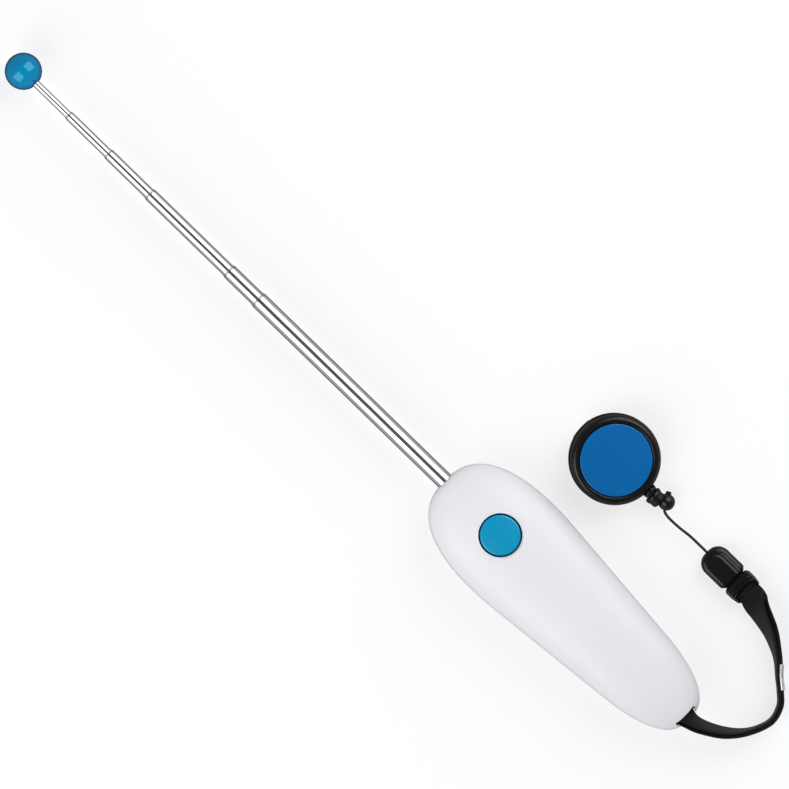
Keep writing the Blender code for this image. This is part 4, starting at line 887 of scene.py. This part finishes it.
def addTip(v):
    radius = v.radius - v.step * (len(v.fronts) - 1)
    front = v.fronts[-1] * mm
    corner = v.rodFrontRounding
    rear = rearLine(v, radius, v.length, v.rodRounding)
    profile = fillet([(radius, v.socket, corner), (radius, v.socket - mm)] + rear, 3)[1:]
    profile = [(0, v.socket), (radius - corner, v.socket)] + profile + [(0, -v.length)]
    rod = turned("stickTip", profile, alongX(front), facets.tube)
    addPiece("stickTip", rod, "chrome", "tip", "tip_rod")
    # the ball, with a short collar where the rod goes in
    ball = v.ballRadius
    bore = radius + v.ballGap
    seat = v.socket - ball + v.ballGap
    start = asin((bore + v.collar) / ball)
    low = -ball * cos(start)
    profile = [(0, seat), (bore, seat), (bore, low + v.collarChamfer), (bore + v.collarChamfer, low)]
    for step in range(facets.post):
        angle = start + (pi - start) * step / facets.post
        profile.append((ball * sin(angle), -ball * cos(angle)))
    mesh = turned("targetBall", profile + [(0, ball)], alongX(front + ball))
    return addPiece("targetBall", mesh, "blue_ball", "tip", "target_ball")


for section in range(len(stick.fronts) - 1):
    addSection(stick, section)
addTip(stick)
print("stick made")


# buckle

buckle = Sizes(
    frontX=-23.8 * mm, y=-46 * mm, z=3.2 * mm, width=11.2 * mm, thickness=5.8 * mm, wall=1.2 * mm, gap=play,
    socketLength=13.6 * mm, nose=0.42, depth=9.4 * mm, socketBevel=1.8 * mm,
    holeRadius=0.8 * mm, notchRadius=1.0 * mm,
    # the curved trough in its top, back and aside in mm
    trough=[
        (-1.9, 0.9), (-2.1, -0.6), (-3.0, -2.0), (-4.6, -2.7), (-7.5, -2.8), (-10.5, -2.8), (-14.5, -2.8)],
    troughRadius=1.5 * mm, troughDepth=0.38 * mm,
    plugFront=-37.7 * mm, plugLength=6.8 * mm, plugCorner=1.0 * mm, plugTaper=3.0 * mm, plugBevel=0.7 * mm,
    prongLength=8.6 * mm, prongWidth=2.3 * mm,
    barX=-43.4 * mm, barRadius=0.8 * mm, slotHalf=4.43 * mm, slotReach=1.25 * mm,
    # the raised arches across the plug: their places, and aside, forward and up along one, in mm
    ribs=[-2.0, -3.4], ribRadius=0.42 * mm,
    ribLine=[(4.8, -0.9, -1.0), (4.0, -0.5, -0.15), (2.2, 0.1, 0.05)], ribTop=(0, 0.4, 0.1),
)


def prism(name, outline, low, high, place):
    return loft(name, [[place @ Vector((x, y, z)) for x, y in outline] for z in (low, high)], angle=30)


def socketPlan(v, steps=14):
    half = v.width / 2
    nose = v.width * v.nose
    points = [(-v.socketLength, half), (-v.socketLength, -half)]
    for side in (-1, 1):
        for step in range(steps + 1):
            turn = pi / 2 * step / steps
            angle = turn if side < 0 else pi / 2 - turn
            points.append((nose * sin(angle) - nose, side * (half - nose + nose * cos(angle))))
    return points


def addSocket(v):
    place = Matrix.Translation((v.frontX, v.y, v.z))
    half, side = v.thickness / 2, v.width / 2
    body = prism("buckleSocket", socketPlan(v), -half, half, place)
    hollow = boxMesh(
        (-v.socketLength - mm, v.wall - side, v.wall - half),
        (v.depth - v.socketLength, side - v.wall, half - v.wall), place)
    top = half + v.troughRadius - v.troughDepth
    trough = [place @ Vector((x * mm, y * mm, top)) for x, y in v.trough]
    groove = tubeMesh("trough", trough, 8, v.troughRadius, facets.rod, softAngle)
    hole = rodMesh(v.holeRadius, -v.socketLength, mm, alongX(v.frontX, v.y, v.z), facets.thin)
    notches = []
    for edge in (-side, side):
        spot = place @ Matrix.Translation((-v.socketLength, edge, 0))
        notches.append(rodMesh(v.notchRadius, -half - mm, half + mm, spot, facets.thin))
    mesh = shaped(body, cuts=[hollow, groove, hole] + notches, bevel=v.socketBevel, segments=5)
    return addPiece("buckleSocket", mesh, "black_plastic", "reel", "buckle_socket")


def addPlug(v):
    place = Matrix.Translation((v.plugFront, v.y, v.z))
    half, side = v.thickness / 2, v.width / 2
    corner, length = v.plugCorner, v.plugLength
    outline = [
        (0, side - corner), (-corner, side), (v.plugTaper - length, side), (-length, side - corner / 2)]
    outline += [(x, -y) for x, y in reversed(outline)]
    body = prism("bucklePlug", outline, -half, half, place)
    reach = side - v.wall - v.gap
    root = reach - v.prongWidth
    thick = half - v.wall - v.gap
    prongs = []
    for low, high, front in (
            (root, reach, v.prongLength), (-reach, -root, v.prongLength), (-root - mm, root + mm, mm)):
        prongs.append(boxMesh((-mm, low, -thick), (front, high, thick), place))
    slotEnd = v.barX - v.plugFront + v.barRadius + v.slotReach
    fork = boxMesh((-length - mm, -v.slotHalf, -half - mm), (slotEnd, v.slotHalf, half + mm), place)
    line = [(-aside, bow, rise) for aside, bow, rise in v.ribLine] + [v.ribTop] + v.ribLine[::-1]
    raised = []
    for x in v.ribs:
        arch = [place @ Vector(((x + bow) * mm, aside * mm, half + rise * mm)) for aside, bow, rise in line]
        raised.append(tubeMesh("rib", arch, 6, v.ribRadius, facets.thin, softAngle))
    mesh = shaped(body, joins=prongs, cuts=[fork], bevel=v.plugBevel, segments=4)
    barReach = (v.slotHalf + side) / 2
    barPlace = Matrix.Translation((v.barX, v.y, v.z)) @ turnAbout("X", -90)
    bar = rodMesh(v.barRadius, -barReach, barReach, barPlace, facets.rod)
    mesh = shaped(mesh, joins=[bar] + raised)
    return addPiece("bucklePlug", mesh, "black_plastic", "handle", "buckle_plug")


socketPiece = addSocket(buckle)
plugPiece = addPlug(buckle)
print("buckle made")


# reel pieces

def addBead(v):
    tip = v.beadRadius + v.nubHeight
    profile = fillet([(0, 0), (v.nubRadius, 0), (v.nubRadius, tip, v.nubRounding), (0, tip)])
    nub = turned("nub", profile, beadPlace @ turnAbout("X", 90) @ turnAbout("Y", v.nubTurn), facets.rod)
    channel = tubeMesh("channel", cordRoute(v), 6, v.cordRadius + v.gap, facets.thin)
    mesh = shaped(ballMesh("cordBead", v.beadRadius, beadPlace, facets.post, 28), joins=[nub], cuts=[channel])
    return addPiece("cordBead", mesh, "black_plastic", "reel", "cord_bead")


nozzle = Sizes(
    # radii, and lengths along it
    base=2.6 * mm, neck=1.9 * mm, waist=2.21 * mm, flange=3.2 * mm, cup=2.85 * mm,
    baseLength=0.8 * mm, neckLength=2 * mm, flangeLength=1.2 * mm, flangeStep=0.3 * mm, cupDepth=1.7 * mm,
    seatGap=0.12 * mm, aside=0.35 * mm, asideStart=1.2 * mm, asideRun=0.8 * mm,
    tiny=0.2 * mm, small=0.3 * mm, medium=0.35 * mm, large=0.4 * mm, mouth=1.0 * mm,      # roundings
)


def addNozzle(v, n):
    inside = v.radius - v.wall - 2 * v.gap
    outside = v.radius + v.gap
    lip = inside - v.wall / 2
    flange = outside + n.neckLength
    flangeEnd = flange + n.flangeLength
    end = v.beadReach - v.beadRadius - v.gap + n.cupDepth
    bore = v.cordRadius + v.gap
    profile = fillet([
        (n.base, -lip), (n.base, -inside), (n.neck, -inside), (n.neck, -outside), (n.base, -outside, n.small),
        (n.base, -outside - n.baseLength, n.large), (n.waist, n.flangeStep - flange, n.tiny),
        (n.flange, -flange, n.medium), (n.flange, -flangeEnd, n.medium),
        (n.cup, -flangeEnd - n.flangeStep, n.tiny), (n.cup, -end, n.mouth), (bore, -end), (bore, -lip)])
    mesh = turned("cordNozzle", profile, reelFlat, loop=True)
    aside = reelPlace.to_3x3() @ Vector((0, n.aside, 0))
    back = reelPlace.inverted()
    for vert in mesh.vertices:
        share = (abs((back @ vert.co).x) - outside - n.asideStart) / n.asideRun
        vert.co += aside * min(1.0, max(0.0, share))
    mesh = shaped(mesh, cuts=[ballMesh("seat", v.beadRadius + n.seatGap, beadPlace, facets.tube, 40)])
    return addPiece("cordNozzle", mesh, "black_plastic", "reel", "cord_nozzle")


case = Sizes(
    face=12.75 * mm, faceThickness=0.9 * mm, faceProud=0.15 * mm, faceCrown=0.25 * mm, faceDome=0.95,
    lipDrop=0.25 * mm, lipWidth=0.3 * mm, discDrop=0.02 * mm, roomRadius=2.2 * mm, boreRadius=1.5 * mm,
    # roundings
    edge=0.6 * mm, shoulder=0.8 * mm, seam=0.08 * mm, corner=0.1 * mm, lip=0.2 * mm, inside=0.3 * mm,
)


def addReelCase(v, c):
    outer, rim = v.radius, v.rim
    inner = outer - v.wall
    half = v.thickness / 2
    split = v.gap / 2
    recess = half - c.faceThickness
    ceiling = recess - v.wall / 2
    floor = half - v.wall
    step = c.face + v.gap
    front = [(0, recess)] + fillet([
        (step, recess, c.corner), (step, half - c.lipDrop, c.corner), (step + c.lipWidth, half, c.lip),
        (outer - rim, half, c.edge), (outer, half - rim, c.shoulder), (outer, split, c.seam), (inner, split),
        (inner, ceiling, c.inside), (0, ceiling)])
    back = [(0, -floor)] + fillet([
        (inner, -floor, c.inside), (inner, -split), (outer, -split, c.seam), (outer, rim - half, c.shoulder),
        (outer - rim, -half, c.edge), (0, -half)])
    room = rodMesh(c.roomRadius, -outer - rim, 2 * rim - inner, reelFlat)
    bore = rodMesh(c.boreRadius, -v.thickness, 0, reelPlace, facets.rod)
    pieces = []
    for name, node, profile, cuts in (
            ("reelCaseFront", "reel_case_front", front, [room]),
            ("reelCaseBack", "reel_case_back", back, [room, bore])):
        mesh = shaped(turned(name, profile, reelPlace, facets.disc), cuts=cuts)
        pieces.append(addPiece(name, mesh, "black_plastic", "reel", node))
    return pieces


def addFaceDisc(v, c):
    half = v.thickness / 2
    top = half + c.faceProud
    low = half - c.faceThickness + v.gap
    domed = c.face * c.faceDome
    dome = [(reach, top + rise) for reach, rise in domeLine(domed, c.faceCrown, 12)]
    profile = dome + fillet([
        (domed, top), (c.face, top - c.discDrop, c.inside), (c.face, low, c.corner), (0, low)])[1:]
    mesh = turned("reelFaceDisc", profile, reelPlace, facets.disc)
    return addPiece("reelFaceDisc", mesh, "blue_face", "reel", "reel_face_disc")


clip = Sizes(
    width=8 * mm, thickness=0.7 * mm, roundEnd=3.4 * mm, reach=13.2 * mm, tip=14.6 * mm, tipBack=0.02 * mm,
    foldDepth=0.8, armSteps=40, crowding=1.6, foldSteps=24, bore=1.5 * mm,
    plate=[-4.99, -4.9, -4.7, -4.4, -4.0, -3.4, -2.6, -1.6, 0, 6, 12.9],      # its stations in mm
    # share of half the width, and of half the thickness, round the edge
    section=[(1, 0.4), (0.94, 1), (-0.94, 1), (-1, 0.4), (-1, -0.4), (-0.94, -1), (0.94, -1), (1, -0.4)],
)


def stripRings(path, c):
    # a strip of sprung steel seen from the side, narrowed to a round end at its start
    lengths = runLengths(path)
    across = Vector((0, 1, 0))
    rings = []
    for index, point in enumerate(path):
        normal = direction(path, index).cross(across).normalized()
        back = max(0.0, c.roundEnd - lengths[index])
        half = c.width / 2 - c.roundEnd + (c.roundEnd ** 2 - back ** 2) ** 0.5
        rings.append([
            reelPlace @ (point + across * half * side + normal * c.thickness / 2 * lift)
            for side, lift in c.section])
    return rings


def addClip(v, c):
    half = c.thickness / 2
    base = -v.thickness / 2 - v.gap - half
    tilt = radians(v.tilt)
    tip = -v.thickness / 2 - v.gap - half / cos(tilt)
    run = c.reach + c.tip
    root = tip - tan(tilt) * run
    bend = (base - root) / 2
    arm = [Vector((c.tipBack - c.tip, 0, tip))]
    for step in range(1, c.armSteps):
        share = (step / c.armSteps) ** c.crowding
        arm.append(Vector((run * share - c.tip, 0, tip + (root - tip) * share)))
    for step in range(c.foldSteps + 1):
        angle = -pi / 2 + pi * step / c.foldSteps
        arm.append(Vector((c.reach + bend * c.foldDepth * cos(angle), 0, base - bend + bend * sin(angle))))
    plate = [Vector((x * mm, 0, base)) for x in c.plate]
    bore = rodMesh(c.bore, -v.thickness, 0, reelPlace, facets.rod)
    flat = shaped(loft("clipBase", stripRings(plate, c)), cuts=[bore])
    return [
        addPiece("beltClip", loft("beltClip", stripRings(arm, c)), "spring_steel", "clip", "belt_clip"),
        addPiece("clipBase", flat, "spring_steel", "reel", "clip_base")]


beadPiece = addBead(reel)
nozzlePiece = addNozzle(reel, nozzle)
casePieces = addReelCase(reel, case)
facePiece = addFaceDisc(reel, case)
clipPieces = addClip(reel, clip)
print("reel made")


# what repeats or winds, grown by Geometry Nodes

class Grower(NodeTree):
    # a tree with named sizes, run once and kept as a plain mesh
    def __init__(self, name, sizes):
        super().__init__(bpy.data.node_groups.new(name, "GeometryNodeTree"))
        face = self.tree.interface
        for way in ("INPUT", "OUTPUT"):
            face.new_socket("Geometry", in_out=way, socket_type="NodeSocketGeometry")
        self.given = {}
        for key, value in sizes.items():
            kind = "NodeSocketInt" if isinstance(value, int) else "NodeSocketFloat"
            self.given[face.new_socket(key, in_out="INPUT", socket_type=kind).identifier] = value
        self.start = self.tree.nodes.new("NodeGroupInput")

    def size(self, name):
        return Value(self, self.start.outputs[name])

    def lifted(self, geometry, height):
        return self.node("GeometryNodeTransform", None, {
            "Geometry": geometry, "Translation": self.joinedXyz(z=height)})

    def cylinder(self, sides, radius, depth):
        return self.node("GeometryNodeMeshCylinder", None, {
            "Vertices": sides, "Radius": radius, "Depth": depth})

    def coil(self, spiral, sides, radius):
        curve = self.node("GeometryNodeCurveSpiral", None, spiral)
        ring = self.node("GeometryNodeCurvePrimitiveCircle", None, {"Resolution": sides, "Radius": radius})
        return self.node("GeometryNodeCurveToMesh", None, {
            "Curve": curve, "Profile Curve": ring, "Fill Caps": True})

    def joined(self, parts):
        return self.node("GeometryNodeJoinGeometry", None, {"Geometry": parts})

    def boolean(self, operation, meshes):
        return self.node("GeometryNodeMeshBoolean", {"operation": operation, "solver": "EXACT"}, meshes)

    def grown(self, geometry, material, points=((0, 0, 0),)):
        plain = self.node("GeometryNodeRealizeInstances", None, {"Geometry": geometry})
        done = self.node("GeometryNodeSetMaterial", None, {"Geometry": plain, "Material": material})
        self.feed(self.tree.nodes.new("NodeGroupOutput").inputs[0], done)
        start = bpy.data.meshes.new("start")
        start.from_pydata(points, [], [])
        carrier = newObject("carrier", start)
        modifier = carrier.modifiers.new("grow", "NODES")
        modifier.node_group = self.tree
        for identifier, value in self.given.items():
            modifier[identifier] = value
        return settled(carrier)


screws = {
    "Head radius": 2.15 * mm, "Head height": 1.4 * mm, "Shank radius": 0.95 * mm, "Grip": 10.6 * mm,
    "Seat": 4.5 * mm, "Cross width": 0.55 * mm, "Cross depth": 0.7 * mm, "Cross reach": 1.3,
    "Pitch": 0.8 * mm, "Thread radius": 0.16 * mm, "Thread share": 0.86, "Thread start": 1.0 * mm, "Seed": 7,
}


def addScrews(sizes, places):
    tree = Grower("housingScrews", sizes)
    size = {name: tree.size(name) for name in sizes}
    low = size["Seat"] - size["Head height"]
    head = tree.cylinder(40, size["Head radius"], size["Head height"])
    head = tree.lifted(head, low + size["Head height"] * 0.5)
    length, depth = size["Head radius"] * size["Cross reach"], size["Cross depth"] * 2.0
    bars = []
    for x, y in ((length, size["Cross width"]), (size["Cross width"], length)):
        bar = tree.node("GeometryNodeMeshCube", None, {"Size": tree.joinedXyz(x=x, y=y, z=depth)})
        bars.append(tree.lifted(bar, low))
    cross = tree.boolean("UNION", {"Mesh 2": bars})
    cut = tree.boolean("DIFFERENCE", {"Mesh 1": head, "Mesh 2": cross})
    shank = tree.cylinder(24, size["Shank radius"], size["Grip"])
    shank = tree.lifted(shank, size["Seat"] + size["Grip"] * 0.5)
    run = size["Grip"] * size["Thread share"]
    thread = tree.coil({
        "Resolution": 20, "Rotations": run / size["Pitch"], "Height": run,
        "Start Radius": size["Shank radius"], "End Radius": size["Shank radius"]}, 6, size["Thread radius"])
    thread = tree.lifted(thread, size["Seat"] + size["Thread start"])
    turns = tree.node(
        "FunctionNodeRandomValue", {"data_type": "FLOAT"}, {"Min": 0.0, "Max": pi, "Seed": size["Seed"]}, 1)
    rows = tree.node("GeometryNodeInstanceOnPoints", None, {
        "Points": tree.size("Geometry"), "Instance": tree.joined([cut, shank, thread]),
        "Rotation": tree.joinedXyz(z=turns)})
    mesh = tree.grown(rows, finishes["spring_steel"], [(x * mm, y * mm, 0) for x, y in places])
    stands = [f"housing_screw_{index + 1}" for index in range(len(places))]
    return addPiece("housingScrews", mesh, "spring_steel", "handle", *stands)


winding = {
    "Core radius": 10.7 * mm, "Bottom": -2.1 * mm, "Height": 3.9 * mm, "Cord radius": 0.5 * mm,
}


def addWinding(sizes, layers=2, layerRise=2.05):
    # each layer lies some cord radii outside the last
    tree = Grower("cordWinding", sizes)
    core, bottom, height, cord = [tree.size(name) for name in sizes]
    rise = height - cord * 2.0
    coils = []
    for layer in range(layers):
        reach = core + cord * (1.0 + layerRise * layer)
        coils.append(tree.coil({
            "Resolution": 48, "Rotations": rise / (cord * 2.0), "Height": rise,
            "Start Radius": reach, "End Radius": reach, "Reverse": layer % 2 == 1}, 12, cord))
    mesh = tree.grown(tree.lifted(tree.joined(coils), bottom + cord), finishes["cord"])
    mesh.transform(reelPlace)
    return addPiece("cordWinding", mesh, "cord", "spool", "cord_winding")


screwPiece = addScrews(screws, handle.screws)
windingPiece = addWinding(winding)
print("repeats made")


# free cords

def declareCords():
    riders = [socketPiece, beadPiece, nozzlePiece, facePiece, windingPiece] + casePieces + clipPieces
    riders += [nodes[name] for name in ("reel_spool", "reel_spring", "reel_axle")]
    runLengths(cordLine)[-1]
    [tuple(p) for p in thin(cordLine)]
    for piece, centres in webbingPieces:
        runLengths(centres)[-1]
        [tuple(p) for p in thin(centres)]


declareCords()


# studio

studio = Sizes(
    floorColour=(0.93, 0.93, 0.93), floorRoughness=0.9, floorSize=3.0, floorGlow=0.7, floorDrop=0.05 * mm,
    panelX=0.12, panelZ=0.01, panelDistance=1.0, panelWide=0.9, panelRadiance=2.9,
    panelLow=23.0, panelHigh=75.0,           # degrees from straight up
    world=0.2, zenith=0.17, zenithEdge=0.93, zenithStart=0.952, horizon=0.5, horizonTop=0.6,
)


def addFloor(v):
    build = bmesh.new()
    bmesh.ops.create_grid(build, x_segments=1, y_segments=1, size=v.floorSize)
    mesh = finishMesh(build, "floor")
    mesh.transform(Matrix.Translation((0, 0, -v.floorDrop)))
    floor = newObject("floor", mesh)
    # it glows where it is seen, and takes shadows
    paper = Surface("floorPaper", v.floorColour, v.floorRoughness, plain={"Specular IOR Level": 0.0})
    direct, glossy, through = [
        paper.node("ShaderNodeLightPath", output=f"Is {kind} Ray")
        for kind in ("Camera", "Glossy", "Transmission")]
    seen = (direct + glossy + through).math("MINIMUM", 1.0)
    mix = paper.node("ShaderNodeMixShader", None, {
        0: seen * v.floorGlow, 1: Value(paper, paper.shader.outputs[0]), 2: paper.node("ShaderNodeEmission")})
    paper.feed(paper.tree.nodes["Material Output"].inputs[0], mix)
    mesh.materials.append(paper.material)


def addPanels(v):
    # two long strips across the stick, so that it shows two white bands and a dark middle
    tilt = radians(v.panelLow + v.panelHigh) / 2
    spread = radians(v.panelHigh - v.panelLow) / 2
    for side in (-1, 1):
        data = bpy.data.lights.new("panel", "AREA")
        data.shape = "RECTANGLE"
        data.size = v.panelWide
        data.size_y = 2 * v.panelDistance * tan(spread)
        data.energy = v.panelRadiance * pi * data.size * data.size_y
        panel = newObject("panel", data)
        middle = Vector((v.panelX, 0, v.panelZ))
        panel.location = middle + Vector((0, side * sin(tilt), cos(tilt))) * v.panelDistance
        panel.rotation_euler = (-side * tilt, 0, 0)
        panel.visible_camera = False


def addWorld(v):
    # even light, brighter at the horizon, with a dark opening overhead where the camera looks down
    world = bpy.data.worlds.new("studio")
    bpy.context.scene.world = world
    world.use_nodes = True
    sky = NodeTree(world.node_tree)
    way = sky.node("ShaderNodeTexCoord", output="Generated")
    height = sky.node("ShaderNodeSeparateXYZ", None, {0: way}, "Z")
    level = sky.ranged(height, v.zenithEdge, v.zenithStart, v.world, v.zenith)
    level += sky.ranged(height, 0.0, v.horizonTop, v.horizon, 0.0)
    back = sky.tree.nodes["Background"]
    sky.feed(back.inputs["Color"], (1, 1, 1, 1))
    sky.feed(back.inputs["Strength"], level)


addFloor(studio)
addPanels(studio)
addWorld(studio)
bpy.context.scene.view_settings.view_transform = "Standard"
print("studio made")
